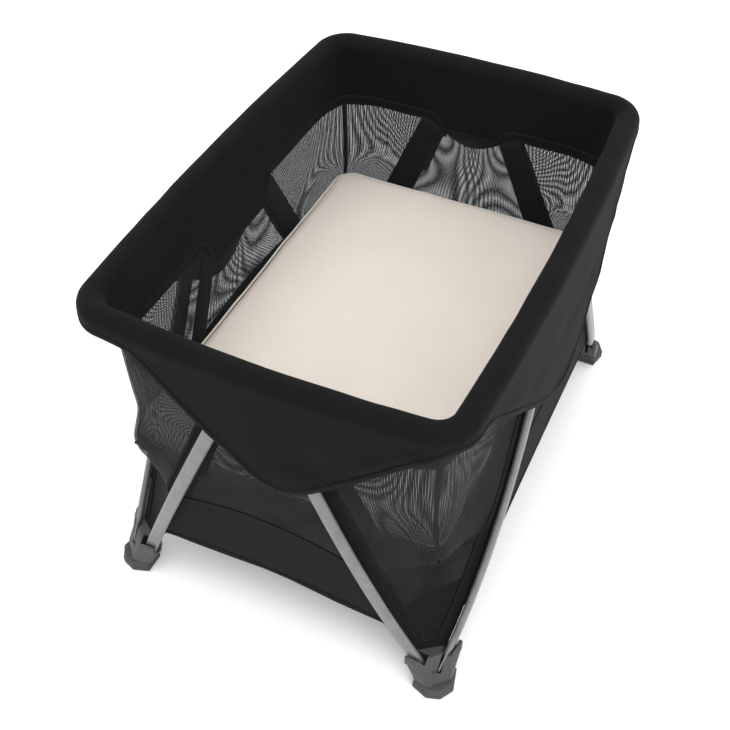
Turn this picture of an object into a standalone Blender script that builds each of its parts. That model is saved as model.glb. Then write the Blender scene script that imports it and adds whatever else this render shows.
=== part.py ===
"""Travel play yard: a folding leg frame, a padded rim, mesh walls and a hanging bassinet.

Units are metres and +Z is up. +X runs along the length, +Y along the width, and the front is the
long side at -Y. The origin is on the floor under the middle. Shapes are designed in the corner at
+X +Y and mirrored into the other three.
"""
import math

import bmesh
import bpy
from mathutils import Matrix, Vector

# Padded rim
RIM_HALF_X = 0.513
RIM_HALF_Y = 0.367
ROLL_RADIUS = 0.024
ROLL_Z = 0.751
RIM_CORNER_RADIUS = 0.055
MITRE_DEG = 44.6
SKIRT = 0.002
SKIRT_TOP_Z = 0.733
RIM_CAVITY_TOP = 0.761
INNER_SKIRT_Z = 0.612
APRON_MIDDLE_Z = {"end": 0.500, "side": 0.440}
APRON_CORNER_Z = {"end": 0.705, "side": 0.735}
APRON_HIGHEST_Z = 0.715
APRON_FLARE_TOP = 0.0225
APRON_FLARE = {"end": 0.0335, "side": 0.0320}

# Top rails, in their own plane just inside the legs
RAIL_HALF_X = 0.503
RAIL_HALF_Y = 0.357
RAIL_Z = ROLL_Z
RAIL_THICK = 0.016
RAIL_DEEP = 0.017
CORNER_ARM = 0.040
LONG_HUB_PIVOT = 0.105
LAYER_GAP = 0.0005
HUB_PLATE = 0.003
RAIL_PLATE_Z = (0.742, 0.759)
LEG_PLATE_Z = 0.688
LEG_PLATE_HALF = 0.014
ELBOW_CUT = 0.009
ELBOW_INNER_CUT = 0.012
ELBOW_CLEARANCE = 0.0015

# Legs: each is a flat oval tube, bent along a quadratic curve of three points
LEG_WIDE = 0.028
LEG_THICK = 0.014
LONG_LEG = (Vector((0.505, 0.364, 0.060)), Vector((0.293, 0.405, 0.255)), Vector((0.080, 0.376, 0.700)))
SHORT_LEG = (Vector((0.517, 0.320, 0.060)), Vector((0.556, 0.200, 0.340)), Vector((0.522, 0.040, 0.700)))
LEG_STEPS = 12
LEG_END = 0.005

# Floor linkage
FOOT_PIVOT = Vector((0.490, 0.335, 0.065))
HUB_PIVOT_RADIUS = 0.060
BAR_WIDE = 0.018
BAR_DEEP = 0.014
FOLD_DEG = 82.0

# Pins and their holes
PIN_R = 0.0027
HOLE_R = 0.0034

# Feet
PAD_TOP = 0.0097
FOOT_LOW = 0.010
FOOT_STEP = 0.032
FOOT_TOP = 0.0445
EAR = 0.005
LEG_SLOT = LEG_THICK / 2 + 0.0015
LONG_LEAN = (LONG_LEG[1].y - LONG_LEG[0].y) / (LONG_LEG[1].z - LONG_LEG[0].z)
SHORT_LEAN = (SHORT_LEG[1].x - SHORT_LEG[0].x) / (SHORT_LEG[1].z - SHORT_LEG[0].z)
PAD_OUTLINE = ((0.478, 0.340), (0.500, 0.318), (0.5440, 0.3185), (0.5565, 0.353), (0.5465, 0.381),
               (0.5185, 0.3985), (0.478, 0.388))
FOOT_OUTLINE = ((0.438, 0.3775), (0.438, 0.346), (0.474, 0.318), (0.5035, 0.268), (0.5305, 0.268),
                (0.538, 0.313), (0.551, 0.357), (0.541, 0.376), (0.518, 0.391), (0.478, 0.385))
LONG_EAR = ((0.438, 0.040), (0.530, 0.040), (0.530, 0.062), (0.518, 0.080), (0.466, 0.104), (0.438, 0.098))
FOOT_FORK = ((-0.010, 0.0395), (0.010, 0.0395), (0.010, 0.070), (0.004, 0.076), (-0.004, 0.076),
             (-0.010, 0.070))
FOOT_FORK_THICK = 0.003
SHORT_EAR = ((0.268, 0.040), (0.346, 0.040), (0.346, 0.062), (0.338, 0.080), (0.302, 0.104), (0.274, 0.100))

# Fabric of the yard
WALL_X = 0.5045
WALL_Y = 0.3530
FABRIC = 0.002
WALL_TOP = 0.735
WALL_HEM = 0.155
WALL_ARCH = 0.028
PANEL_LOW = 0.106
PANEL_RADIUS = 0.045
SEAM = 0.0015
FLOOR_Z = 0.188
FLOOR_THICK = 0.004

# Bassinet
BASSINET_TOP = (0.4870, 0.3410, 0.606)
BASSINET_LOW = (0.4780, 0.3360, 0.366)
BASSINET_WALL = 0.0025
BASSINET_RADIUS = 0.034
BASSINET_FLOOR = 0.0055
BASSINET_GAP = 0.001
MATTRESS = (0.472, 0.330, 0.3720, 0.412)
MATTRESS_RADIUS = 0.045
MATTRESS_EDGE = 0.008

# Centre hub
HUB_R = 0.046
HUB_LOW = 0.045
HUB_HIGH = 0.085
HUB_FORK = ((-0.022, 0.0565), (0.004, 0.0565), (0.010, 0.061), (0.010, 0.069), (0.004, 0.0735),
            (-0.022, 0.0735))
HUB_FORK_THICK = 0.004
CENTRE_FOOT_R = 0.030
HANDLE_R = 0.024
HANDLE_TALL = 0.0155
STRAP_REACH = 0.034
STRAP_HALF_WIDE = 0.012
STRAP_THICK = 0.002
STRAP_RISE = 1.1

CORNERS = {"front_left": (-1, -1), "front_right": (1, -1), "back_right": (1, 1), "back_left": (-1, 1)}
# Each side: its kind, the axis that it faces, and the corner whose leg carries its rail hub
SIDES = {"front": ("side", -1, "front_left"), "right": ("end", 1, "front_right"),
         "back": ("side", 1, "back_right"), "left": ("end", -1, "back_left")}
# The rail that carries each corner elbow is the one whose hub rides on that corner's own leg
ELBOW_RAIL = {"front_left": "side", "front_right": "end", "back_right": "side", "back_left": "end"}

DIAGONAL = Vector((FOOT_PIVOT.x, FOOT_PIVOT.y, 0)).normalized()
ACROSS = Vector((-DIAGONAL.y, DIAGONAL.x, 0))
HUB_PIVOT = Vector((DIAGONAL.x * HUB_PIVOT_RADIUS, DIAGONAL.y * HUB_PIVOT_RADIUS, FOOT_PIVOT.z))


def foot_travel():
    """How far a foot moves in along X and Y when the frame is folded."""
    bar = (FOOT_PIVOT - HUB_PIVOT).length
    travel = bar * (1 - math.cos(math.radians(FOLD_DEG)))
    return travel * DIAGONAL.x, travel * DIAGONAL.y


def leg_fold(leg, axis, travel):
    """A leg's turn in radians, and the rise of its top, when its foot has moved in by travel."""
    run = leg[0][axis] - leg[2][axis]
    height = leg[2].z - leg[0].z
    length = math.hypot(run, height)
    folded_run = run - travel
    folded_height = math.sqrt(length ** 2 - folded_run ** 2)
    return math.atan2(run, height) - math.atan2(folded_run, folded_height), folded_height - height


def ring_fold():
    """Turns of the long and short rails, and the short hub's pivot at which the folded ring closes."""
    travel_x, travel_y = foot_travel()
    long_rise = leg_fold(LONG_LEG, 0, travel_x)[1]
    short_rise = leg_fold(SHORT_LEG, 1, travel_y)[1]
    long_rail = RAIL_HALF_X - CORNER_ARM - LONG_HUB_PIVOT
    run = RAIL_HALF_X - travel_x - CORNER_ARM - LONG_HUB_PIVOT
    drop = math.sqrt(long_rail ** 2 - run ** 2)
    long_turn = math.atan2(drop, run)
    short_drop = drop + short_rise - long_rise
    open_end = RAIL_HALF_Y - CORNER_ARM
    folded_end = open_end - travel_y
    pivot = (open_end ** 2 - folded_end ** 2 - short_drop ** 2) / (2 * (open_end - folded_end))
    short_turn = math.atan2(short_drop, folded_end - pivot)
    return long_turn, short_turn, pivot


SHORT_HUB_PIVOT = ring_fold()[2]


# ---------------------------------------------------------------- scene and materials
def clear_scene():
    for obj in list(bpy.data.objects):
        bpy.data.objects.remove(obj, do_unlink=True)


def new_collection(name):
    collection = bpy.data.collections.new(name)
    bpy.context.scene.collection.children.link(collection)
    return collection


def material(name, color, roughness, metallic=0.0):
    mat = bpy.data.materials.new(name)
    mat.use_nodes = True
    shader = mat.node_tree.nodes["Principled BSDF"]
    shader.inputs["Base Color"].default_value = (*color, 1.0)
    shader.inputs["Roughness"].default_value = roughness
    shader.inputs["Metallic"].default_value = metallic
    mat.diffuse_color = (*color, 1.0)
    return mat


# ---------------------------------------------------------------- shapes
def prism(outline, low, high, to_point):
    """A closed prism. Outline points and a depth between low and high become points by to_point."""
    bm = bmesh.new()
    rings = [[bm.verts.new(to_point(a, b, depth)) for a, b in outline] for depth in (low, high)]
    count = len(outline)
    bm.faces.new(rings[0])
    bm.faces.new(rings[1])
    for i in range(count):
        j = (i + 1) % count
        bm.faces.new((rings[0][i], rings[0][j], rings[1][j], rings[1][i]))
    bmesh.ops.recalc_face_normals(bm, faces=bm.faces)
    return bm


def plan(a, b, depth):
    return Vector((a, b, depth))


def rounded_rectangle(half_x, half_y, radius, steps=6):
    points = []
    for quarter, (sx, sy) in enumerate(((1, 1), (-1, 1), (-1, -1), (1, -1))):
        for k in range(steps + 1):
            angle = math.radians(90 * (quarter + k / steps))
            points.append((sx * (half_x - radius) + radius * math.cos(angle),
                           sy * (half_y - radius) + radius * math.sin(angle)))
    return points


def loft(sections, closed=False):
    """A skin over sections of equal point counts, capped at its ends unless it closes on itself."""
    bm = bmesh.new()
    rings = [[bm.verts.new(p) for p in section] for section in sections]
    count = len(rings[0])
    last = len(rings) if closed else len(rings) - 1
    for k in range(last):
        a = rings[k]
        b = rings[(k + 1) % len(rings)]
        for i in range(count):
            j = (i + 1) % count
            bm.faces.new((a[i], a[j], b[j], b[i]))
    if not closed:
        bm.faces.new(rings[0])
        bm.faces.new(rings[-1])
    bmesh.ops.recalc_face_normals(bm, faces=bm.faces)
    return bm


def cylinder(start, end, radius, sides=16):
    """A closed cylinder between two points."""
    bm = bmesh.new()
    axis = end - start
    bmesh.ops.create_cone(bm, cap_ends=True, segments=sides, radius1=radius, radius2=radius,
                          depth=axis.length)
    turn = axis.to_track_quat("Z", "Y").to_matrix().to_4x4()
    bmesh.ops.transform(bm, matrix=Matrix.Translation((start + end) / 2) @ turn, verts=bm.verts)
    return bm


def oval(wide, thick, steps=5):
    """Outline of a flat oval: half circles at both ends of the wide direction."""
    radius = thick / 2
    points = []
    for side in (1, -1):
        for k in range(steps + 1):
            angle = math.radians(-90 + 180 * k / steps)
            points.append((side * (wide / 2 - radius + radius * math.cos(angle)),
                           side * radius * math.sin(angle)))
    return points


def curve_point(points, t):
    return points[0] * (1 - t) ** 2 + points[1] * 2 * t * (1 - t) + points[2] * t ** 2


def curve_slope(points, t):
    return ((points[1] - points[0]) * (1 - t) + (points[2] - points[1]) * t).normalized()


def curve_at_height(points, z):
    """The curve's point at a height; past its top it goes on in a straight line."""
    if z >= points[2].z:
        slope = curve_slope(points, 1.0)
        return points[2] + slope * ((z - points[2].z) / slope.z)
    low, high = 0.0, 1.0
    for _ in range(40):
        middle = (low + high) / 2
        if curve_point(points, middle).z < z:
            low = middle
        else:
            high = middle
    return curve_point(points, low)


# ---------------------------------------------------------------- building objects
def mirrored(bm, sx, sy):
    """Move a shape made at +X +Y into another corner."""
    bmesh.ops.transform(bm, matrix=Matrix.Diagonal((sx, sy, 1, 1)), verts=bm.verts)
    if sx * sy < 0:
        bmesh.ops.reverse_faces(bm, faces=bm.faces)
    return bm


def add_object(name, bm, collection, origin=Vector(), mat=None, smooth=False):
    """An object of its own with its origin at a point, such as one on its joint's axis."""
    bmesh.ops.translate(bm, vec=-origin, verts=bm.verts)
    mesh = bpy.data.meshes.new(name)
    bm.to_mesh(mesh)
    bm.free()
    obj = bpy.data.objects.new(name, mesh)
    obj.location = origin
    collection.objects.link(obj)
    if mat:
        mesh.materials.append(mat)
    if smooth:
        mesh.shade_smooth()
        mesh.set_sharp_from_angle(angle=math.radians(35))
    return obj


def combine(obj, shapes, operation, cutters):
    """Join closed shapes to an object, or cut them from it, with exact Booleans."""
    for k, bm in enumerate(shapes):
        tool = add_object(f"{obj.name}_{operation.lower()}_{k}", bm, cutters)
        tool.hide_render = True
        tool.display_type = "WIRE"
        step = obj.modifiers.new(f"{operation.lower()}_{k}", "BOOLEAN")
        step.operation = operation
        step.solver = "EXACT"
        step.object = tool


def add_leg(name, points, corner, parts, cutters, mat):
    """A bent oval tube with a pivot hole at each end; its wide way lies in its own side's plane."""
    sx, sy = corner
    axis = 1 if points is LONG_LEG else 0
    normal = Vector((0, 1, 0)) if axis == 1 else Vector((1, 0, 0))
    stations = [(points[0] - curve_slope(points, 0) * LEG_END, curve_slope(points, 0))]
    stations += [(curve_point(points, k / LEG_STEPS), curve_slope(points, k / LEG_STEPS))
                 for k in range(LEG_STEPS + 1)]
    stations.append((points[2] + curve_slope(points, 1) * LEG_END, curve_slope(points, 1)))
    sections = []
    for centre, slope in stations:
        wide = slope.cross(normal).normalized()
        sections.append([centre + wide * a + normal * b for a, b in oval(LEG_WIDE, LEG_THICK)])
    pivot = Vector((points[0].x * sx, points[0].y * sy, points[0].z))
    leg = add_object(name, mirrored(loft(sections), sx, sy), parts, pivot, mat, smooth=True)
    holes = [cylinder(end - normal * 0.02, end + normal * 0.02, HOLE_R) for end in (points[0], points[2])]
    combine(leg, [mirrored(hole, sx, sy) for hole in holes], "DIFFERENCE", cutters)


def add_foot(name, corner, parts, cutters, mat):
    """A foot body: a low block, two slotted sockets for the legs and a fork for the floor bar."""
    sx, sy = corner
    long_y, short_x = LONG_LEG[0].y, SHORT_LEG[0].x
    shapes = [prism(FOOT_OUTLINE, FOOT_STEP - 0.002, FOOT_TOP, plan)]
    for side in (-1, 1):
        near = side * LEG_SLOT
        far = side * (LEG_SLOT + EAR)
        lean = 1 if side > 0 else 0

        def long_ear(a, b, depth):
            return Vector((a, depth + lean * LONG_LEAN * (b - LONG_LEG[0].z), b))

        def short_ear(a, b, depth):
            return Vector((depth + lean * SHORT_LEAN * (b - SHORT_LEG[0].z), a, b))

        shapes.append(prism(LONG_EAR, long_y + near, long_y + far, long_ear))
        shapes.append(prism(SHORT_EAR, short_x + near, short_x + far, short_ear))
        offset = side * (BAR_WIDE / 2 + LAYER_GAP)

        def beside_bar(a, b, depth):
            along = FOOT_PIVOT + DIAGONAL * a + ACROSS * depth
            return Vector((along.x, along.y, b))

        shapes.append(prism(FOOT_FORK, offset, offset + side * FOOT_FORK_THICK, beside_bar))
    reach = LEG_SLOT + EAR / 2
    pivot = LONG_LEG[0]
    shapes.append(cylinder(pivot - Vector((0, reach, 0)), pivot + Vector((0, reach, 0)), PIN_R))
    pivot = SHORT_LEG[0]
    shapes.append(cylinder(pivot - Vector((reach, 0, 0)), pivot + Vector((reach, 0, 0)), PIN_R))
    reach = BAR_WIDE / 2 + 0.002
    shapes.append(cylinder(FOOT_PIVOT - ACROSS * reach, FOOT_PIVOT + ACROSS * reach, PIN_R))
    base = mirrored(prism(PAD_OUTLINE, FOOT_LOW, FOOT_STEP, plan), sx, sy)
    origin = Vector((FOOT_PIVOT.x * sx, FOOT_PIVOT.y * sy, FOOT_PIVOT.z))
    foot = add_object(name, base, parts, origin, mat)
    combine(foot, [mirrored(shape, sx, sy) for shape in shapes], "UNION", cutters)


def link_outline(length, deep, steps=6):
    """A bar with round ends, along its first coordinate, from a pivot at 0 to one at length."""
    radius = deep / 2
    points = []
    for centre, start in ((length, -90), (0, 90)):
        for k in range(steps + 1):
            angle = math.radians(start + 180 * k / steps)
            points.append((centre + radius * math.cos(angle), radius * math.sin(angle)))
    return points


def add_link(name, start, end, across, wide, deep, parts, cutters, mat):
    """A straight bar between two pivots, with a hole at each. Its origin is the first pivot."""
    along = (end - start).normalized()

    def to_point(a, b, depth):
        return start + along * a + Vector((0, 0, b)) + across * depth

    shape = prism(link_outline((end - start).length, deep), -wide / 2, wide / 2, to_point)
    link = add_object(name, shape, parts, start, mat, smooth=True)
    holes = [cylinder(p - across * wide, p + across * wide, HOLE_R) for p in (start, end)]
    combine(link, holes, "DIFFERENCE", cutters)


def add_rail_hub(name, side, parts, cutters, mat):
    """The plate in the middle of a side. It holds both half rails, and pins them and one leg."""
    kind, facing, carrier = SIDES[side]
    long_side = kind == "side"
    leg = LONG_LEG if long_side else SHORT_LEG
    rail_pivot = LONG_HUB_PIVOT if long_side else SHORT_HUB_PIVOT
    leg_pivot = leg[2].x if long_side else leg[2].y
    half = rail_pivot + 0.010 if long_side else leg_pivot + 0.016
    plane = (RAIL_HALF_Y if long_side else RAIL_HALF_X) + RAIL_THICK / 2 + LAYER_GAP
    low, high = RAIL_PLATE_Z
    reach = leg_pivot + LEG_PLATE_HALF
    outline = [(-half, low), (-half, high), (half, high), (half, low), (reach, LEG_PLATE_Z), (-reach, LEG_PLATE_Z)]

    def to_point(a, b, depth):
        return Vector((a, facing * depth, b)) if long_side else Vector((facing * depth, a, b))

    pins = []
    for sign in (-1, 1):
        pins.append(cylinder(to_point(sign * rail_pivot, RAIL_Z, plane + HUB_PLATE / 2),
                             to_point(sign * rail_pivot, RAIL_Z, plane - RAIL_THICK), PIN_R))
    sx, sy = CORNERS[carrier]
    sign = sx if long_side else sy
    pins.append(cylinder(to_point(sign * leg_pivot, leg[2].z, plane + HUB_PLATE / 2),
                         to_point(sign * leg_pivot, leg[2].z, plane + HUB_PLATE + LEG_THICK), PIN_R))
    shape = prism(outline, plane, plane + HUB_PLATE, to_point)
    origin = to_point(sign * leg_pivot, leg[2].z, plane + HUB_PLATE)
    hub = add_object(name, shape, parts, origin, mat)
    combine(hub, pins, "UNION", cutters)


def add_elbow(name, corner, carrier, parts, cutters, mat):
    """A rim corner: a block with an ear outside each rail's end, pinned to the rail that carries it."""
    sx, sy = CORNERS[corner]
    ear_x = RAIL_HALF_X + RAIL_THICK / 2 + LAYER_GAP
    ear_y = RAIL_HALF_Y + RAIL_THICK / 2 + LAYER_GAP
    end_x = RAIL_HALF_X - CORNER_ARM
    end_y = RAIL_HALF_Y - CORNER_ARM
    inner_x = RAIL_HALF_X - RAIL_THICK / 2
    inner_y = RAIL_HALF_Y - RAIL_THICK / 2
    radius = RAIL_DEEP / 2
    clear = radius + ELBOW_CLEARANCE
    outer_x = ear_x + HUB_PLATE
    outer_y = ear_y + HUB_PLATE
    outline = [(end_x - radius, ear_y), (end_x - radius, outer_y), (end_x + ELBOW_CUT, outer_y),
               (outer_x, end_y + ELBOW_CUT), (outer_x, end_y - radius), (ear_x, end_y - radius),
               (ear_x, end_y + clear), (inner_x, end_y + clear), (inner_x, end_y + ELBOW_INNER_CUT),
               (end_x + ELBOW_INNER_CUT, inner_y), (end_x + clear, inner_y), (end_x + clear, ear_y)]
    low = RAIL_Z - radius
    block = mirrored(prism(outline, low, RAIL_Z + radius, plan), sx, sy)
    if carrier == "side":
        pin = (Vector((end_x, ear_y + HUB_PLATE / 2, RAIL_Z)), Vector((end_x, ear_y - RAIL_THICK, RAIL_Z)))
    else:
        pin = (Vector((ear_x + HUB_PLATE / 2, end_y, RAIL_Z)), Vector((ear_x - RAIL_THICK, end_y, RAIL_Z)))
    origin = Vector((pin[0].x * sx, pin[0].y * sy, RAIL_Z))
    elbow = add_object(name, block, parts, origin, mat)
    combine(elbow, [mirrored(cylinder(pin[0], pin[1], PIN_R), sx, sy)], "UNION", cutters)


def rim_section(apron_z, flare):
    """Cross-section of a padded rim as (outward, height) points: roll, inner skirt and apron."""
    r = ROLL_RADIUS
    section = [(-r, INNER_SKIRT_Z)]
    for k in range(7):
        angle = math.radians(180 - 30 * k)
        section.append((r * math.cos(angle), ROLL_Z + r * math.sin(angle)))
    top = APRON_FLARE_TOP - SKIRT / 2
    section += [(top, SKIRT_TOP_Z), (flare, apron_z), (flare - SKIRT, apron_z), (top - SKIRT, SKIRT_TOP_Z),
                (top - SKIRT, RIM_CAVITY_TOP), (-r + SKIRT, RIM_CAVITY_TOP), (-r + SKIRT, INNER_SKIRT_Z)]
    return section


def add_rim(name, side, parts, mat):
    """One side's padded rim with its apron, mitred in the middle of each rounded corner."""
    kind, facing, _ = SIDES[side]
    long_side = kind == "side"
    half_along = RIM_HALF_X if long_side else RIM_HALF_Y
    half_across = RIM_HALF_Y if long_side else RIM_HALF_X
    straight = half_along - RIM_CORNER_RADIUS
    stations = [(-1, MITRE_DEG * k / 4) for k in range(4, 0, -1)]
    stations += [(straight * (k - 6) / 6, None) for k in range(13)]
    stations += [(1, MITRE_DEG * k / 4) for k in range(1, 5)]
    sections = []
    for place, angle in stations:
        if angle is None:
            ratio = abs(place) / half_along
            centre = (place, half_across)
            outward = (0.0, 1.0)
        else:
            turn = math.radians(angle)
            ratio = 1.0
            outward = (place * math.sin(turn), math.cos(turn))
            centre = (place * straight + RIM_CORNER_RADIUS * outward[0],
                      half_across - RIM_CORNER_RADIUS + RIM_CORNER_RADIUS * outward[1])
        drop = min(1.0, ratio / 0.9)
        apron_z = APRON_MIDDLE_Z[kind] * (1 - drop) + APRON_CORNER_Z[kind] * drop
        apron_z = min(apron_z, APRON_HIGHEST_Z)
        spread = min(1.0, (SKIRT_TOP_Z - apron_z) / 0.2)
        flare = APRON_FLARE_TOP + (APRON_FLARE[kind] - APRON_FLARE_TOP) * spread
        section = []
        for n, z in rim_section(apron_z, flare):
            along = centre[0] + outward[0] * n
            across = centre[1] + outward[1] * n
            point = (along, facing * across, z) if long_side else (facing * across, along, z)
            section.append(Vector(point))
        sections.append(section)
    add_object(name, loft(sections), parts, Vector(), mat, smooth=True)


def add_wall(name, side, parts, mat):
    """The wall between a side's two legs: a sheet whose sloping edges lie behind the legs."""
    kind, facing, _ = SIDES[side]
    long_side = kind == "side"
    leg = LONG_LEG if long_side else SHORT_LEG
    axis = 0 if long_side else 1
    plane = WALL_Y if long_side else WALL_X
    heights = [WALL_HEM + (WALL_TOP - WALL_HEM) * k / 8 for k in range(9)]
    edge = [(curve_at_height(leg, z)[axis] - SEAM, z) for z in heights]
    hem = []
    for k in range(1, 8):
        place = 1 - k / 4
        hem.append((edge[0][0] * place, WALL_HEM + WALL_ARCH * (1 - place ** 2)))
    outline = edge + [(-a, z) for a, z in reversed(edge)] + list(reversed(hem))

    def to_point(a, b, depth):
        return Vector((a, facing * depth, b)) if long_side else Vector((facing * depth, a, b))

    add_object(name, prism(outline, plane - FABRIC / 2, plane + FABRIC / 2, to_point), parts, Vector(), mat)


def add_corner_panel(name, corner, parts, mat):
    """The mesh panel round a corner, from one leg of a foot to the other."""
    sx, sy = corner
    arc_x = WALL_X - PANEL_RADIUS
    arc_y = WALL_Y - PANEL_RADIUS
    sections = []
    for k in range(9):
        z = PANEL_LOW + (WALL_TOP - PANEL_LOW) * k / 8
        start = min(curve_at_height(SHORT_LEG, z).y + SEAM, arc_y - 0.001)
        end = min(curve_at_height(LONG_LEG, z).x + SEAM, arc_x - 0.001)
        rows = []
        for offset in (FABRIC / 2, -FABRIC / 2):
            radius = PANEL_RADIUS + offset
            row = [Vector((WALL_X + offset, start, z))]
            for step in range(7):
                angle = math.radians(90 * step / 6)
                row.append(Vector((arc_x + radius * math.cos(angle), arc_y + radius * math.sin(angle), z)))
            row.append(Vector((end, WALL_Y + offset, z)))
            rows.append(row)
        sections.append(rows[0] + list(reversed(rows[1])))
    add_object(name, mirrored(loft(sections), sx, sy), parts, Vector(), mat, smooth=True)


def add_bassinet(parts, wall_mat, floor_mat, pad_mat):
    """The bassinet's wall ring, its stiff floor, and the mattress on it."""
    top = rounded_rectangle(BASSINET_TOP[0], BASSINET_TOP[1], BASSINET_RADIUS)
    low = rounded_rectangle(BASSINET_LOW[0], BASSINET_LOW[1], BASSINET_RADIUS)
    thin = BASSINET_WALL
    top_in = rounded_rectangle(BASSINET_TOP[0] - thin, BASSINET_TOP[1] - thin, BASSINET_RADIUS - thin)
    low_in = rounded_rectangle(BASSINET_LOW[0] - thin, BASSINET_LOW[1] - thin, BASSINET_RADIUS - thin)
    sections = [[Vector((*low[i], BASSINET_LOW[2])), Vector((*top[i], BASSINET_TOP[2])),
                 Vector((*top_in[i], BASSINET_TOP[2])), Vector((*low_in[i], BASSINET_LOW[2]))]
                for i in range(len(top))]
    add_object("bassinet_walls", loft(sections, closed=True), parts, Vector(), wall_mat, smooth=True)
    gap = thin + BASSINET_GAP
    outline = rounded_rectangle(BASSINET_LOW[0] - gap, BASSINET_LOW[1] - gap, BASSINET_RADIUS - gap)
    floor = prism(outline, BASSINET_LOW[2], BASSINET_LOW[2] + BASSINET_FLOOR, plan)
    add_object("bassinet_floor", floor, parts, Vector(), floor_mat)
    outline = rounded_rectangle(MATTRESS[0], MATTRESS[1], MATTRESS_RADIUS)
    pad = add_object("mattress", prism(outline, MATTRESS[2], MATTRESS[3], plan), parts, Vector(), pad_mat)
    edge = pad.modifiers.new("soft_edge", "BEVEL")
    edge.width = MATTRESS_EDGE
    edge.segments = 2
    edge.limit_method = "ANGLE"


def add_hub(parts, cutters, plastic, rubber, handle, webbing):
    """The centre hub with a fork for each floor bar, its foot, and the handle that folds the yard."""
    body = cylinder(Vector((0, 0, HUB_LOW)), Vector((0, 0, HUB_HIGH)), HUB_R, sides=32)
    hub = add_object("floor_hub", body, parts, Vector((0, 0, FOOT_PIVOT.z)), plastic, smooth=True)
    shapes = []
    for sx, sy in CORNERS.values():
        for side in (-1, 1):
            offset = side * (BAR_WIDE / 2 + LAYER_GAP)

            def beside_bar(a, b, depth):
                along = HUB_PIVOT + DIAGONAL * a + ACROSS * depth
                return Vector((along.x, along.y, b))

            shape = prism(HUB_FORK, offset, offset + side * HUB_FORK_THICK, beside_bar)
            shapes.append(mirrored(shape, sx, sy))
        reach = ACROSS * (BAR_WIDE / 2 + 0.0025)
        shapes.append(mirrored(cylinder(HUB_PIVOT - reach, HUB_PIVOT + reach, PIN_R), sx, sy))
    combine(hub, shapes, "UNION", cutters)
    foot = cylinder(Vector((0, 0, 0)), Vector((0, 0, HUB_LOW - LAYER_GAP)), CENTRE_FOOT_R, sides=32)
    add_object("centre_foot", foot, parts, Vector(), rubber, smooth=True)
    low = HUB_HIGH + LAYER_GAP
    high = low + HANDLE_TALL
    knob = cylinder(Vector((0, 0, low)), Vector((0, 0, high)), HANDLE_R, sides=32)
    add_object("fold_handle", knob, parts, Vector((0, 0, HUB_HIGH)), handle, smooth=True)
    strap = []
    for k in range(13):
        angle = math.radians(180 * k / 12)
        ring = []
        inner = STRAP_REACH - STRAP_THICK
        for reach, side in ((STRAP_REACH, -1), (STRAP_REACH, 1), (inner, 1), (inner, -1)):
            x = reach * math.cos(angle)
            z = high + 0.001 + reach * STRAP_RISE * math.sin(angle)
            ring.append(Vector((x, side * STRAP_HALF_WIDE, z)))
        strap.append(ring)
    add_object("pull_strap", loft(strap), parts, Vector((0, 0, HUB_HIGH)), webbing)


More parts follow.
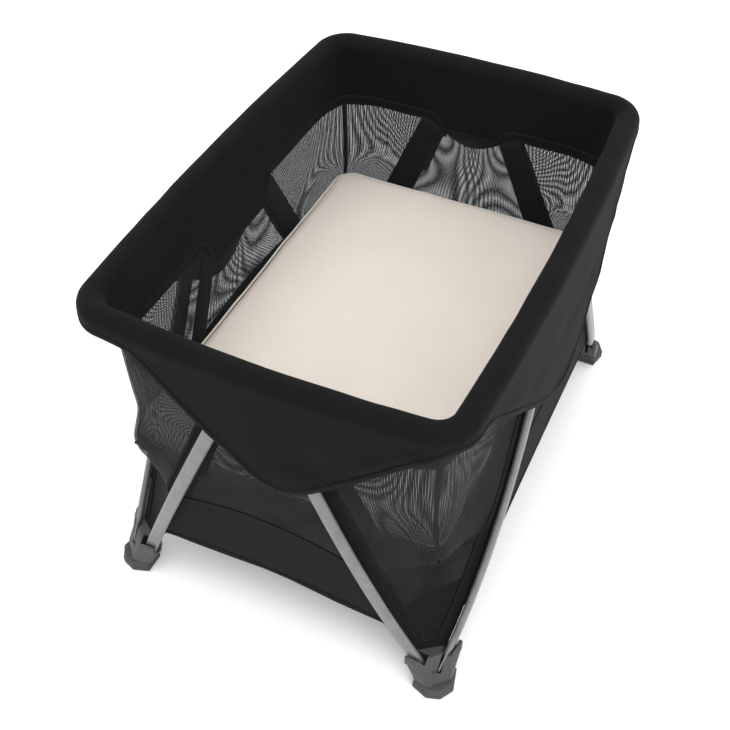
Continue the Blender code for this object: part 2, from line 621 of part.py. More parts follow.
def build_yard():
    clear_scene()
    parts = new_collection("travel_play_yard")
    cutters = new_collection("cutters")
    tube = material("leg_tube", (0.36, 0.36, 0.37), 0.32, 0.85)
    steel = material("floor_bar", (0.12, 0.12, 0.13), 0.40, 0.6)
    plastic = material("grey_plastic", (0.13, 0.13, 0.14), 0.55)
    rubber = material("dark_rubber", (0.03, 0.03, 0.03), 0.80)
    padded = material("rim_fabric", (0.018, 0.018, 0.019), 0.85)
    mesh = material("wall_mesh", (0.03, 0.03, 0.032), 0.80)
    board = material("floor_fabric", (0.02, 0.02, 0.022), 0.85)
    sheet = material("mattress_sheet", (0.78, 0.69, 0.60), 0.90)
    webbing = material("webbing", (0.05, 0.05, 0.05), 0.80)
    for corner, signs in CORNERS.items():
        sx, sy = signs
        pad = prism(PAD_OUTLINE, 0, PAD_TOP, plan)
        add_object(f"foot_pad_{corner}", mirrored(pad, sx, sy), parts, Vector(), rubber)
        add_foot(f"foot_{corner}", signs, parts, cutters, plastic)
        add_leg(f"long_leg_{corner}", LONG_LEG, signs, parts, cutters, tube)
        add_leg(f"short_leg_{corner}", SHORT_LEG, signs, parts, cutters, tube)
        outer = Vector((FOOT_PIVOT.x * sx, FOOT_PIVOT.y * sy, FOOT_PIVOT.z))
        inner = Vector((HUB_PIVOT.x * sx, HUB_PIVOT.y * sy, HUB_PIVOT.z))
        across = Vector((ACROSS.x * sx, ACROSS.y * sy, 0))
        add_link(f"floor_bar_{corner}", outer, inner, across, BAR_WIDE, BAR_DEEP, parts, cutters, steel)
        for kind, across in (("side", Vector((0, 1, 0))), ("end", Vector((1, 0, 0)))):
            if kind == "side":
                start = Vector((LONG_HUB_PIVOT * sx, RAIL_HALF_Y * sy, RAIL_Z))
                end = Vector(((RAIL_HALF_X - CORNER_ARM) * sx, RAIL_HALF_Y * sy, RAIL_Z))
            else:
                start = Vector((RAIL_HALF_X * sx, SHORT_HUB_PIVOT * sy, RAIL_Z))
                end = Vector((RAIL_HALF_X * sx, (RAIL_HALF_Y - CORNER_ARM) * sy, RAIL_Z))
            add_link(f"{kind}_rail_{corner}", start, end, across, RAIL_THICK, RAIL_DEEP, parts, cutters, tube)
        add_elbow(f"rim_corner_{corner}", corner, ELBOW_RAIL[corner], parts, cutters, plastic)
        add_corner_panel(f"corner_panel_{corner}", signs, parts, mesh)
    for side in SIDES:
        add_rail_hub(f"rail_hub_{side}", side, parts, cutters, plastic)
        add_rim(f"rim_{side}", side, parts, padded)
        add_wall(f"wall_{side}", side, parts, mesh)
    outline = rounded_rectangle(WALL_X - FABRIC, WALL_Y - FABRIC, PANEL_RADIUS - FABRIC)
    add_object("yard_floor", prism(outline, FLOOR_Z, FLOOR_Z + FLOOR_THICK, plan), parts, Vector(), board)
    add_hub(parts, cutters, plastic, rubber, plastic, webbing)
    add_bassinet(parts, mesh, board, sheet)


build_yard()
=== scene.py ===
"""Travel play yard: the looks of its padded rim, mesh walls, bassinet, mattress, legs and feet.

Units are metres and +Z is up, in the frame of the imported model. +X runs along the length, +Y along
the width, and the front is the long side at -Y. Shapes are designed in the corner at +X +Y and
mirrored into the other three.
"""
import math

import bmesh
import bpy
from mathutils import Matrix, Vector, noise


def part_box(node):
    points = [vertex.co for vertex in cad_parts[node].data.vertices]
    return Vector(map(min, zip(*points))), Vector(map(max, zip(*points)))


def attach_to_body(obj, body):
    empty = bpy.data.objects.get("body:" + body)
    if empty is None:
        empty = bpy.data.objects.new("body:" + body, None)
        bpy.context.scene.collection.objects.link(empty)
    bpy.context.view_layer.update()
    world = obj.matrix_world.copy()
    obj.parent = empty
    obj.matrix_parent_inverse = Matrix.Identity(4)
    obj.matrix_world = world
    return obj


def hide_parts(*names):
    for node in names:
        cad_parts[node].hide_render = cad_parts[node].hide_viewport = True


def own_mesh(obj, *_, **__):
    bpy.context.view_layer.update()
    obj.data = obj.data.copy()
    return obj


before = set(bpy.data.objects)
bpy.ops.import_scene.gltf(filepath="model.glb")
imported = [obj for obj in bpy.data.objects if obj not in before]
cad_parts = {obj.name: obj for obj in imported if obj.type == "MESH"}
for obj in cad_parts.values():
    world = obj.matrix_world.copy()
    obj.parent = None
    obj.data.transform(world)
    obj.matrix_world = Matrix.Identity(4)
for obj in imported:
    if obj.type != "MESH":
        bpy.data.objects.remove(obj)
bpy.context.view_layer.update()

CORNERS = {"front_left": (-1, -1), "front_right": (1, -1), "back_right": (1, 1), "back_left": (-1, 1)}
# Each side: its kind and the direction that it faces
SIDES = {"front": ("side", -1), "right": ("end", 1), "back": ("side", 1), "left": ("end", -1)}

# Padded rim, from the frame's own box
RIM_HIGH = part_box("rim_front")[1]
ROLL_RADIUS = 0.024
ROLL_Z = RIM_HIGH.z - ROLL_RADIUS
RIM_HALF_X = 0.513
RIM_HALF_Y = 0.367
RIM_CORNER_RADIUS = 0.055
MITRE = math.radians(44.95)
BAND_Z = 0.632
BAND_MIDDLE_Z = {"end": 0.594, "side": 0.555}
BAND_MIDDLE = {"end": (0.066, 0.090), "side": (0.110, 0.140)}
HEM_Z = {"end": 0.517, "side": 0.4225}
HEM_SLOPE = {"end": 0.90, "side": 0.84}
HEM_ROUND = {"end": 0.050, "side": 0.060}
HEM_TOP = 0.731
APRON_FLARE = {"end": 0.0345, "side": 0.0330}
# The cloth never hangs quite evenly: how far each apron's lowest point lies off its middle
HEM_SHIFT = {"front": 0.0, "right": 0.020, "back": 0.012, "left": -0.050}
# The rolls bow: their ends lie this far in from the line through their middles
ROLL_BOW = {"end": 0.013, "side": 0.014}
CORNER_FLARE = 0.0290
CLOTH = 0.0014

# Legs, each bent along a quadratic curve of three points
LONG_LEG = (Vector((0.505, 0.364, 0.060)), Vector((0.293, 0.405, 0.255)), Vector((0.080, 0.376, 0.700)))
SHORT_LEG = (Vector((0.517, 0.320, 0.060)), Vector((0.556, 0.200, 0.340)), Vector((0.522, 0.040, 0.700)))
LEG_WIDE = 0.028
LEG_THICK = 0.014
# The long leg is pressed flat round its pivot, where it turns in a narrow slot of the foot
TONGUE_THICK = 0.005
TONGUE_REACH = (0.038, 0.043)

# Walls and corner panels
WALL_X = 0.5045
WALL_Y = 0.3530
WALL_TOP = 0.735
WALL_HEM = 0.155
WALL_ARCH = 0.028
WALL_SOLID = 0.330
PANEL_LOW = 0.090
PANEL_SOLID = 0.212
PANEL_TOP = 0.702
FLOOR_DROP = 0.034
LEG_GAP = 0.0015
LEG_BAND = 0.032
BINDING = 0.011
BINDING_THICK = 0.0022
SEAM_WIDE = 0.009
TAPE_WIDE, TAPE_THICK = 0.010, 0.0026
WEBBING_THICK = 0.0016
PIPING = 0.0048
# The row of the rim cover's grid that runs along the roll, which its cloth is measured on
ROLL_ROW = 18
# The webbing tabs below the bassinet's corners
TAB_WIDE, TAB_LONG = 0.034, 0.155
TAB_AT = (0.448, 0.284)

# Bassinet and mattress
BASSINET_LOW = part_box("bassinet_walls")[0]
MATTRESS_LOW, MATTRESS_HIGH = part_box("mattress")
BASSINET_TOP_Z = 0.628
BASSINET_HALF = (0.4790, 0.3365)
# Its corners are round at the stiff floor; higher up each wall curves in gently to a crease at the seam
BASSINET_RADIUS = (0.034, 0.216)
BASSINET_TURN = (math.radians(45), math.radians(28))
BASSINET_LEAN = 0.003
BASSINET_SOLID = 0.012
STRIP_WIDE = 0.056
STRIP_AT = {"side": (0.118, 0.600, 0.52), "end": (0.095, 0.610, 0.42)}


# ---------------------------------------------------------------- curves and places

def curve_point(points, t):
    a, b, c = points
    return a * (1 - t) ** 2 + b * (2 * t * (1 - t)) + c * t ** 2


def curve_slope(points, t):
    a, b, c = points
    return ((b - a) * (1 - t) + (c - b) * t).normalized()


def curve_at_height(points, z):
    """The leg's centre at a height, carried straight on past its ends."""
    low, high = -0.2, 1.2
    for _ in range(30):
        middle = (low + high) / 2
        if curve_point(points, middle).z < z:
            low = middle
        else:
            high = middle
    return curve_point(points, low)


def smooth_step(value, low, high):
    t = min(1.0, max(0.0, (value - low) / (high - low)))
    return t * t * (3 - 2 * t)


def place(side, along, out, z):
    """A point of a side: along it, out from the yard's middle, and up."""
    kind, facing = SIDES[side]
    return Vector((along, facing * out, z)) if kind == "side" else Vector((facing * out, along, z))


def outward(side):
    kind, facing = SIDES[side]
    return Vector((0, facing, 0)) if kind == "side" else Vector((facing, 0, 0))


def ripple(x, y, z, size):
    """Smooth noise from -1 to 1 whose features are about size metres wide."""
    return noise.noise(Vector((x, y, z)) / size)


# ---------------------------------------------------------------- meshes

def new_object(name, mesh, materials):
    obj = bpy.data.objects.new(name, mesh)
    bpy.context.scene.collection.objects.link(obj)
    for mat in materials:
        mesh.materials.append(mat)
    return obj


def attach(obj, body, nodes=()):
    """Rides obj on its body, and hides the CAD nodes that it stands for."""
    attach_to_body(obj, body)
    if nodes:
        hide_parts(*nodes)
    return obj


def steps_along(points):
    """Distance from the first point to each point."""
    total = [0.0]
    for a, b in zip(points, points[1:]):
        total.append(total[-1] + (b - a).length)
    return total


def sheet_mesh(name, rows, level=0, patch=None):
    """A cloth of quads through rows of points. Its UV map is in metres: u along row `level`, v up
    each column from that row. patch(i, j) gives a face's material index."""
    bm = bmesh.new()
    verts = [[bm.verts.new(p) for p in row] for row in rows]
    uv = bm.loops.layers.uv.new("cloth")
    us = steps_along(rows[level])
    vs = []
    for column in zip(*rows):
        lengths = steps_along(list(column))
        vs.append([d - lengths[level] for d in lengths])
    for i in range(len(rows) - 1):
        for j in range(len(rows[0]) - 1):
            corners = ((i, j), (i, j + 1), (i + 1, j + 1), (i + 1, j))
            face = bm.faces.new([verts[a][b] for a, b in corners])
            face.smooth = True
            face.material_index = patch(i, j) if patch else 0
            for loop, (a, b) in zip(face.loops, corners):
                loop[uv].uv = (us[b], vs[b][a])
    mesh = bpy.data.meshes.new(name)
    bm.to_mesh(mesh)
    bm.free()
    return mesh


def loft_mesh(name, rings, closed=False, smooth=True):
    """A solid skin through rings of points, capped at both ends unless it closes on itself."""
    bm = bmesh.new()
    verts = [[bm.verts.new(p) for p in ring] for ring in rings]
    uv = bm.loops.layers.uv.new("cloth")
    us = steps_along([ring[0] for ring in rings] + ([rings[0][0]] if closed else []))
    vs = steps_along(list(rings[0]) + [rings[0][0]])
    count = len(rings[0])
    last = len(rings) if closed else len(rings) - 1
    for i in range(last):
        for j in range(count):
            corners = ((i, j), (i, j + 1), (i + 1, j + 1), (i + 1, j))
            face = bm.faces.new([verts[a % len(rings)][b % count] for a, b in corners])
            face.smooth = smooth
            for loop, (a, b) in zip(face.loops, corners):
                loop[uv].uv = (us[a], vs[b])
    if not closed:
        bm.faces.new(verts[0])
        bm.faces.new(list(reversed(verts[-1])))
    bmesh.ops.recalc_face_normals(bm, faces=bm.faces)
    mesh = bpy.data.meshes.new(name)
    bm.to_mesh(mesh)
    bm.free()
    return mesh


def ribbon_mesh(name, path, normals, width, thick, closed=False):
    """A flat strip of webbing or binding along a path; v of its UV map runs across from -width/2."""
    edge = min(0.0012, width / 5)
    section = [(-width / 2, 0), (-width / 2 + edge, thick / 2), (0, thick / 2), (width / 2 - edge, thick / 2),
               (width / 2, 0), (width / 2 - edge, -thick / 2), (0, -thick / 2),
               (-width / 2 + edge, -thick / 2)]
    rings = []
    for k, point in enumerate(path):
        before = path[k - 1] if k or closed else path[0]
        after = path[(k + 1) % len(path)] if k + 1 < len(path) or closed else path[-1]
        across = (after - before).cross(normals[k]).normalized()
        up = across.cross(after - before).normalized()
        rings.append([point + across * a + up * b for a, b in section])
    mesh = loft_mesh(name, rings, closed)
    uv = mesh.uv_layers["cloth"].data
    count = len(section)
    for face in mesh.polygons:
        if face.loop_total == 4:
            for loop in face.loop_indices:
                j = mesh.loops[loop].vertex_index % count
                uv[loop].uv.y = section[j][0]
    return mesh


def add_ribbon(name, path, normals, width, thick, material, closed=False):
    """A strip of webbing, band or binding as an object."""
    return new_object(name, ribbon_mesh(name, path, normals, width, thick, closed), [MATERIALS[material]])


def thicken(obj, thick=CLOTH):
    modifier = obj.modifiers.new("cloth", "SOLIDIFY")
    modifier.thickness = thick
    modifier.offset = 0
    return obj


def apply_modifiers(obj):
    """Turns the modifiers' result into obj's own mesh."""
    graph = bpy.context.evaluated_depsgraph_get()
    done = bpy.data.meshes.new_from_object(obj.evaluated_get(graph))
    obj.modifiers.clear()
    obj.data = done


# ---------------------------------------------------------------- material nodes

def node(tree, kind, inputs=None, **settings):
    """A node with its settings and its inputs, each a value or another node's output."""
    made = tree.nodes.new(kind)
    for key, value in settings.items():
        setattr(made, key, value)
    for key, value in (inputs or {}).items():
        if isinstance(value, bpy.types.NodeSocket):
            tree.links.new(value, made.inputs[key])
        else:
            made.inputs[key].default_value = value
    return made


def calc(tree, operation, *values):
    made = node(tree, "ShaderNodeMath", dict(enumerate(values)), operation=operation)
    return made.outputs[0]


def ramp(tree, value, stops):
    """A colour ramp of (place, grey or colour) stops."""
    made = node(tree, "ShaderNodeValToRGB", {"Fac": value})
    elements = made.color_ramp.elements
    for k, (at, color) in enumerate(stops):
        if k > 1:
            elements.new(at)
        elements[k].position = at
        elements[k].color = (*color, 1.0)
    return made.outputs["Color"]


def cloth_axes(tree):
    uv = node(tree, "ShaderNodeUVMap", uv_map="cloth")
    split = node(tree, "ShaderNodeSeparateXYZ", {"Vector": uv.outputs["UV"]})
    return split.outputs["X"], split.outputs["Y"]


def solid_noise(tree, size, detail=3.0):
    """Noise in the object's own space, with features about size metres wide."""
    coordinates = node(tree, "ShaderNodeTexCoord")
    made = node(tree, "ShaderNodeTexNoise", {"Vector": coordinates.outputs["Object"], "Scale": 1 / size,
                                             "Detail": detail, "Roughness": 0.55})
    return made.outputs["Fac"]


def wave(tree, axis, pitch):
    """Threads along one axis: a sine from 0 to 1."""
    angle = calc(tree, "MULTIPLY", axis, 2 * math.pi / pitch)
    return calc(tree, "MULTIPLY_ADD", calc(tree, "SINE", angle), 0.5, 0.5)


def weave(tree, u, v, pitch):
    """A plain weave's height: warp and weft lie on top in turn, like a chessboard."""
    half_u = calc(tree, "SINE", calc(tree, "MULTIPLY", u, math.pi / pitch))
    half_v = calc(tree, "SINE", calc(tree, "MULTIPLY", v, math.pi / pitch))
    warp_on_top = calc(tree, "GREATER_THAN", calc(tree, "MULTIPLY", half_u, half_v), 0.0)
    warp = calc(tree, "MULTIPLY", wave(tree, u, pitch), warp_on_top)
    weft = calc(tree, "MULTIPLY", wave(tree, v, pitch), calc(tree, "SUBTRACT", 1.0, warp_on_top))
    return calc(tree, "ADD", warp, weft)


def stitches(tree, u, v, rows, pitch=0.0042):
    """Dashes of thread along u, in a row at each given v."""
    dash = calc(tree, "GREATER_THAN", wave(tree, u, pitch), 0.28)
    lines = None
    for row in rows:
        near = calc(tree, "COMPARE", v, row, 0.00055)
        lines = near if lines is None else calc(tree, "MAXIMUM", lines, near)
    return calc(tree, "MULTIPLY", dash, lines)


def bump(tree, height, distance, strength, normal=None):
    made = node(tree, "ShaderNodeBump", {"Height": height, "Distance": distance, "Strength": strength})
    if normal is not None:
        tree.links.new(normal, made.inputs["Normal"])
    return made.outputs["Normal"]


def new_material(name, roughness, metallic=0.0, sheen=0.0):
    mat = bpy.data.materials.new(name)
    mat.use_nodes = True
    shader = mat.node_tree.nodes["Principled BSDF"]
    shader.inputs["Roughness"].default_value = roughness
    shader.inputs["Metallic"].default_value = metallic
    shader.inputs["Sheen Weight"].default_value = sheen
    return mat, mat.node_tree, shader


def woven(name, dark, light, pitch=0.0012, rows=(), sheen=0.02, roughness=0.82, relief=0.00022):
    """Woven cloth with its threads, slubs and, if asked, rows of stitching."""
    mat, tree, shader = new_material(name, roughness, sheen=sheen)
    shader.inputs["Sheen Roughness"].default_value = 0.45
    shader.inputs["Specular IOR Level"].default_value = 0.05
    u, v = cloth_axes(tree)
    threads = weave(tree, u, v, pitch)
    slubs = solid_noise(tree, 0.004, 2.0)
    patches = solid_noise(tree, 0.11)
    tone = calc(tree, "MULTIPLY_ADD", threads, 0.45, calc(tree, "MULTIPLY", slubs, 0.35))
    tone = calc(tree, "MULTIPLY_ADD", patches, 0.35, tone)
    height = threads
    if rows:
        sewn = stitches(tree, u, v, rows)
        tone = calc(tree, "MULTIPLY_ADD", sewn, 0.55, tone)
        height = calc(tree, "MULTIPLY_ADD", sewn, 2.5, height)
    color = ramp(tree, tone, ((0.25, dark), (1.1 if not rows else 1.0, light)))
    tree.links.new(color, shader.inputs["Base Color"])
    wrinkles = bump(tree, solid_noise(tree, 0.035, 2.5), 0.0012, 0.35)
    tree.links.new(bump(tree, height, relief, 0.7, wrinkles), shader.inputs["Normal"])
    return mat


def netting(name, dark, light, pitch=0.0026, open_at=0.450):
    """Knitted mesh: dark threads round slanted holes that light comes through."""
    mat, tree, shader = new_material(name, 0.75)
    shader.inputs["Specular IOR Level"].default_value = 0.12
    u, v = cloth_axes(tree)
    lean_u = calc(tree, "MULTIPLY", u, 0.55)
    lean_v = calc(tree, "MULTIPLY", v, 0.835)
    first = wave(tree, calc(tree, "ADD", lean_v, lean_u), pitch)
    second = wave(tree, calc(tree, "SUBTRACT", lean_v, lean_u), pitch)
    gap = calc(tree, "MINIMUM", first, second)
    hole = node(tree, "ShaderNodeMapRange", {"Value": gap, "From Min": open_at - 0.05,
                                             "From Max": open_at + 0.05}).outputs["Result"]
    color = ramp(tree, solid_noise(tree, 0.09), ((0.3, dark), (0.75, light)))
    tree.links.new(color, shader.inputs["Base Color"])
    tree.links.new(bump(tree, gap, 0.0003, -0.6), shader.inputs["Normal"])
    clear = node(tree, "ShaderNodeBsdfTransparent", {"Color": (0.98, 0.99, 1.0, 1.0)})
    mixed = node(tree, "ShaderNodeMixShader", {0: hole, 1: shader.outputs[0], 2: clear.outputs[0]})
    tree.links.new(mixed.outputs[0], tree.nodes["Material Output"].inputs["Surface"])
    return mat


def moulded(name, dark, light, roughness=0.5, grain=0.0006):
    """Moulded plastic or rubber: fine grain, faint flow marks, and a painted highlight along its sharp edges.
    """
    mat, tree, shader = new_material(name, roughness)
    shader.inputs["Specular IOR Level"].default_value = 0.4
    flow = solid_noise(tree, 0.05)
    # Painted highlight: the sharp edges are drawn paler, broken up by fine noise
    edges = node(tree, "ShaderNodeNewGeometry").outputs["Pointiness"]
    edge_highlight_mask = node(tree, "ShaderNodeMapRange", {"Value": edges, "From Min": 0.52, "From Max": 0.62}).outputs[0]
    painted_edge_highlight = calc(tree, "MULTIPLY", edge_highlight_mask, solid_noise(tree, 0.006, 5.0))
    tone = calc(tree, "MULTIPLY_ADD", painted_edge_highlight, 0.5, calc(tree, "MULTIPLY", flow, 0.8))
    tree.links.new(ramp(tree, tone, ((0.15, dark), (0.85, light))), shader.inputs["Base Color"])
    rough = node(tree, "ShaderNodeMapRange", {"Value": flow, "To Min": roughness - 0.07,
                                              "To Max": roughness + 0.10}).outputs["Result"]
    tree.links.new(rough, shader.inputs["Roughness"])
    tree.links.new(bump(tree, solid_noise(tree, grain, 1.0), 0.00012, 0.5), shader.inputs["Normal"])
    return mat


def painted(name, dark, light, roughness=0.4):
    """Satin powder coat: orange peel, a little mottling and fine rub marks."""
    mat, tree, shader = new_material(name, roughness, metallic=0.35)
    shader.inputs["Coat Weight"].default_value = 0.12
    shader.inputs["Coat Roughness"].default_value = 0.35
    mottle = solid_noise(tree, 0.03)
    rubs = calc(tree, "GREATER_THAN", solid_noise(tree, 0.0045, 6.0), 0.70)
    tone = calc(tree, "MULTIPLY_ADD", rubs, 0.18, mottle)
    tree.links.new(ramp(tree, tone, ((0.3, dark), (0.8, light))), shader.inputs["Base Color"])
    rough = node(tree, "ShaderNodeMapRange", {"Value": mottle, "To Min": roughness - 0.08,
                                              "To Max": roughness + 0.08}).outputs["Result"]
    tree.links.new(rough, shader.inputs["Roughness"])
    tree.links.new(bump(tree, solid_noise(tree, 0.0011, 1.0), 0.0001, 0.35), shader.inputs["Normal"])
    return mat


def jersey(name, dark, light):
    """Soft cotton jersey: fine ribs of loops, with a faint heather and soft creases."""
    mat, tree, shader = new_material(name, 0.9, sheen=0.25)
    shader.inputs["Sheen Roughness"].default_value = 0.5
    u, v = cloth_axes(tree)
    courses = wave(tree, v, 0.0016)
    wales = calc(tree, "MULTIPLY", wave(tree, u, 0.0011), 0.5)
    loops = calc(tree, "MULTIPLY_ADD", courses, 0.5, wales)
    tone = calc(tree, "MULTIPLY_ADD", loops, 0.30, calc(tree, "MULTIPLY", solid_noise(tree, 0.003, 2.0), 0.4))
    tone = calc(tree, "MULTIPLY_ADD", solid_noise(tree, 0.14), 0.35, tone)
    tree.links.new(ramp(tree, tone, ((0.2, dark), (0.85, light))), shader.inputs["Base Color"])
    creases = bump(tree, solid_noise(tree, 0.06, 2.0), 0.003, 0.25)
    tree.links.new(bump(tree, loops, 0.0002, 0.5, creases), shader.inputs["Normal"])
    return mat


MATERIALS = {
    "fabric": woven("charcoal_canvas", (0.0018, 0.0018, 0.0019), (0.0100, 0.0100, 0.0104)),
    "lining": woven("charcoal_lining", (0.0033, 0.0033, 0.0034), (0.0124, 0.0124, 0.0128)),
    "band": woven("charcoal_band", (0.0042, 0.0042, 0.0044), (0.0165, 0.0165, 0.0171),
                  rows=(-0.0240, 0.0240)),
    "binding": woven("charcoal_binding", (0.0024, 0.0024, 0.0025), (0.0140, 0.0140, 0.0145), pitch=0.0009,
                     rows=(-0.0030, 0.0030)),
    "webbing": woven("black_webbing", (0.0030, 0.0030, 0.0031), (0.0150, 0.0150, 0.0155), pitch=0.0016,
                     rows=(-0.0090, 0.0090)),
    "netting": netting("black_netting", (0.009, 0.009, 0.0094), (0.022, 0.022, 0.0228)),
    "sheet": jersey("sand_jersey", (0.520, 0.461, 0.406), (0.640, 0.580, 0.524)),
    "leg": painted("grey_powder_coat", (0.115, 0.115, 0.117), (0.180, 0.180, 0.183)),
    "bar": painted("dark_powder_coat", (0.045, 0.045, 0.048), (0.085, 0.085, 0.09)),
    "plastic": moulded("grey_moulding", (0.024, 0.0245, 0.0255), (0.057, 0.058, 0.059)),
    "dark_plastic": moulded("dark_moulding", (0.030, 0.030, 0.032), (0.070, 0.070, 0.073)),
    "rubber": moulded("grey_rubber", (0.027, 0.028, 0.029), (0.058, 0.059, 0.060),
                      roughness=0.72, grain=0.0009),
}


# ---------------------------------------------------------------- padded rim and aprons

def hem_height(side, along):
    """How high the apron's lower edge is at a place along its side."""
    kind = SIDES[side][0]
    off = along - HEM_SHIFT[side]
    r = HEM_ROUND[kind]
    z = HEM_Z[kind] + HEM_SLOPE[kind] * (math.hypot(off, r) - r)
    return HEM_TOP - smooth_positive(HEM_TOP - z, 0.012)


def smooth_positive(value, soft):
    """value where it is positive and 0 elsewhere, with a soft bend between."""
    return (value + math.sqrt(value * value + soft * soft)) / 2


def band_height(side, along):
    """How high the inner band's lower edge is."""
    kind = SIDES[side][0]
    near, far = BAND_MIDDLE[kind]
    return BAND_MIDDLE_Z[kind] + (BAND_Z - BAND_MIDDLE_Z[kind]) * smooth_step(abs(along), near, far)


def apron_out(side, along, z, hem, corner):
    """How far the apron stands out from the rim's centre line at a height."""
    kind = SIDES[side][0]
    depth = (0.733 - z) / 0.2
    free = 1 - smooth_step(corner, 0.0, 0.9)
    wide = CORNER_FLARE + (APRON_FLARE[kind] - CORNER_FLARE) * free
    flare = 0.0235 + (wide - 0.0235) * min(1.15, max(0.0, depth))
    half = RIM_HALF_X if kind == "side" else RIM_HALF_Y
    near_corner = smooth_step(abs(along), half * 0.30, half * 0.80) * free
    above = z - hem
    crease = math.exp(-((above - 0.030) / 0.011) ** 2) - 0.6 * math.exp(-((above - 0.010) / 0.010) ** 2)
    folds = 0.0038 * near_corner * crease * min(1.0, depth * 3)
    wave_across = ripple(along, z * 1.6, 3.1 if kind == "side" else 7.7, 0.115)
    slack = 0.0042 * wave_across * min(1.0, depth * 1.5) * free
    pull = 0.0014 * math.sin(90 * (z + 0.55 * abs(along))) * near_corner * min(1.0, depth * 2)
    return max(0.0215, flare + folds + slack + pull)


def outside_bassinet(point):
    """How far a point lies outside the bassinet's outline at its top; negative inside."""
    radius, turn, start = bassinet_corner(BASSINET_TOP_Z)
    in_x = BASSINET_HALF[0] + BASSINET_LEAN - abs(point.x)
    in_y = BASSINET_HALF[1] + BASSINET_LEAN - abs(point.y)
    along = min(max(start - max(in_x, in_y), 0.0), radius * math.sin(turn))
    return radius - math.sqrt(radius ** 2 - along ** 2) - min(in_x, in_y)


def band_reach(side, station):
    """How far in from the rim's centre line the band meets the top of the bassinet."""
    low, high = -0.09, 0.0
    for _ in range(20):
        middle = (low + high) / 2
        if outside_bassinet(on_rim(side, station, middle, 0.0)) < -0.002:
            low = middle
        else:
            high = middle
    return low


def rim_section(side, station):
    """Cross-section of the cover as (out from the rim's centre line, height) points, inside to outside."""
    along, corner = station[0], station[3]
    free = 1 - smooth_step(corner, 0.0, 0.9)
    hem = HEM_TOP + (hem_height(side, along) - HEM_TOP) * (1 - smooth_step(corner, 0.5, 1.0))
    low = band_height(side, along)
    reach = band_reach(side, station)
    r = ROLL_RADIUS + 0.0009 * ripple(along, 0.0, 5.0, 0.06) * free
    section = []
    for k in range(12):
        t = k / 12
        z = low + (ROLL_Z - low) * t
        drawn = smooth_step(ROLL_Z - 0.008 - z, 0.0, ROLL_Z - BAND_Z - 0.008)
        slack = 0.0012 * ripple(along, z, 11.0, 0.07) * (1 - t) * free
        section.append((-r + (reach + r) * drawn + slack, z))
    for k in range(13):
        angle = math.radians(180 - 15 * k)
        section.append((r * math.cos(angle), ROLL_Z + r * math.sin(angle)))
    for k in range(1, 19):
        z = ROLL_Z + (hem - ROLL_Z) * k / 18
        blend = smooth_step(ROLL_Z - z, 0.0, 0.03)
        section.append((r * (1 - blend) + apron_out(side, along, z, hem, corner) * blend, z))
    return section


def rim_stations(side):
    """(along, out, direction along and out that the section faces, 0 to 1 into a corner) down one side."""
    kind = SIDES[side][0]
    half_along = RIM_HALF_X if kind == "side" else RIM_HALF_Y
    half_across = RIM_HALF_Y if kind == "side" else RIM_HALF_X
    end_along = half_along - ROLL_BOW["end" if kind == "side" else "side"]
    end_across = half_across - ROLL_BOW[kind]
    straight = end_along - RIM_CORNER_RADIUS
    turns = [MITRE] + [MITRE * share for share in (0.985, 0.87, 0.75, 0.62, 0.49, 0.36, 0.24, 0.12)]
    count = 48 if kind == "side" else 36
    stations = [(-1, turn) for turn in turns]
    stations += [(straight * (2 * k / count - 1), None) for k in range(count + 1)]
    stations += [(1, turn) for turn in reversed(turns)]
    for place_along, turn in stations:
        if turn is None:
            bow = ROLL_BOW[kind] * (abs(place_along) / straight) ** 2
            yield place_along, half_across - bow, (0.0, 1.0), 0.0
        else:
            facing = (place_along * math.sin(turn), math.cos(turn))
            along = place_along * straight + RIM_CORNER_RADIUS * facing[0]
            out = end_across - RIM_CORNER_RADIUS + RIM_CORNER_RADIUS * facing[1]
            yield along, out, facing, turn / MITRE


def on_rim(side, station, n, z):
    along, out, facing, _ = station
    return place(side, along + facing[0] * n, out + facing[1] * n, z)


def rim_facing(side, station):
    facing = station[2]
    return (place(side, facing[0], facing[1], 0)).normalized()


def fold_with_frame(obj, side, keep=0.22):
    """Gives a side's cloth its own copy of its mesh."""
    kind = SIDES[side][0]
    axis = (1, 0, 0) if kind == "side" else (0, 1, 0)
    half = RIM_HALF_Y if kind == "side" else RIM_HALF_X
    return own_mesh(obj, "frame_fold", axis, place(side, 0, half, ROLL_Z), keep)


def make_rim(side):
    """One side's cover with its apron, the bindings on both edges and the foam roll inside."""
    body = "rail_hub_" + side
    stations = list(rim_stations(side))
    sections = [rim_section(side, s) for s in stations]
    rows = [[on_rim(side, s, *section[k]) for s, section in zip(stations, sections)]
            for k in range(len(sections[0]))]
    mesh = sheet_mesh("rim_cover_" + side, rows, level=ROLL_ROW)
    cover = new_object("rim_cover_" + side, mesh, [MATERIALS["fabric"]])
    thicken(cover)
    attach(cover, body, ["rim_" + side])
    fold_with_frame(cover, side)
    for name, index, lift in (("apron_binding_", -1, 0.0045), ("band_binding_", 0, 0.0045)):
        path, normals = [], []
        for s, section in zip(stations, sections):
            n, z = section[index]
            out = 0.0004 if index else -0.0004
            path.append(on_rim(side, s, n + out, z + lift))
            normals.append(rim_facing(side, s))
        edge = add_ribbon(name + side, path, normals, BINDING, BINDING_THICK + CLOTH, "binding")
        attach(edge, body)
        fold_with_frame(edge, side)
    lengths = [steps_along([rows[k][j] for k in range(len(rows))])[-1] for j in range(len(stations))]
    along = steps_along(rows[ROLL_ROW])
    make_foam(side, body)


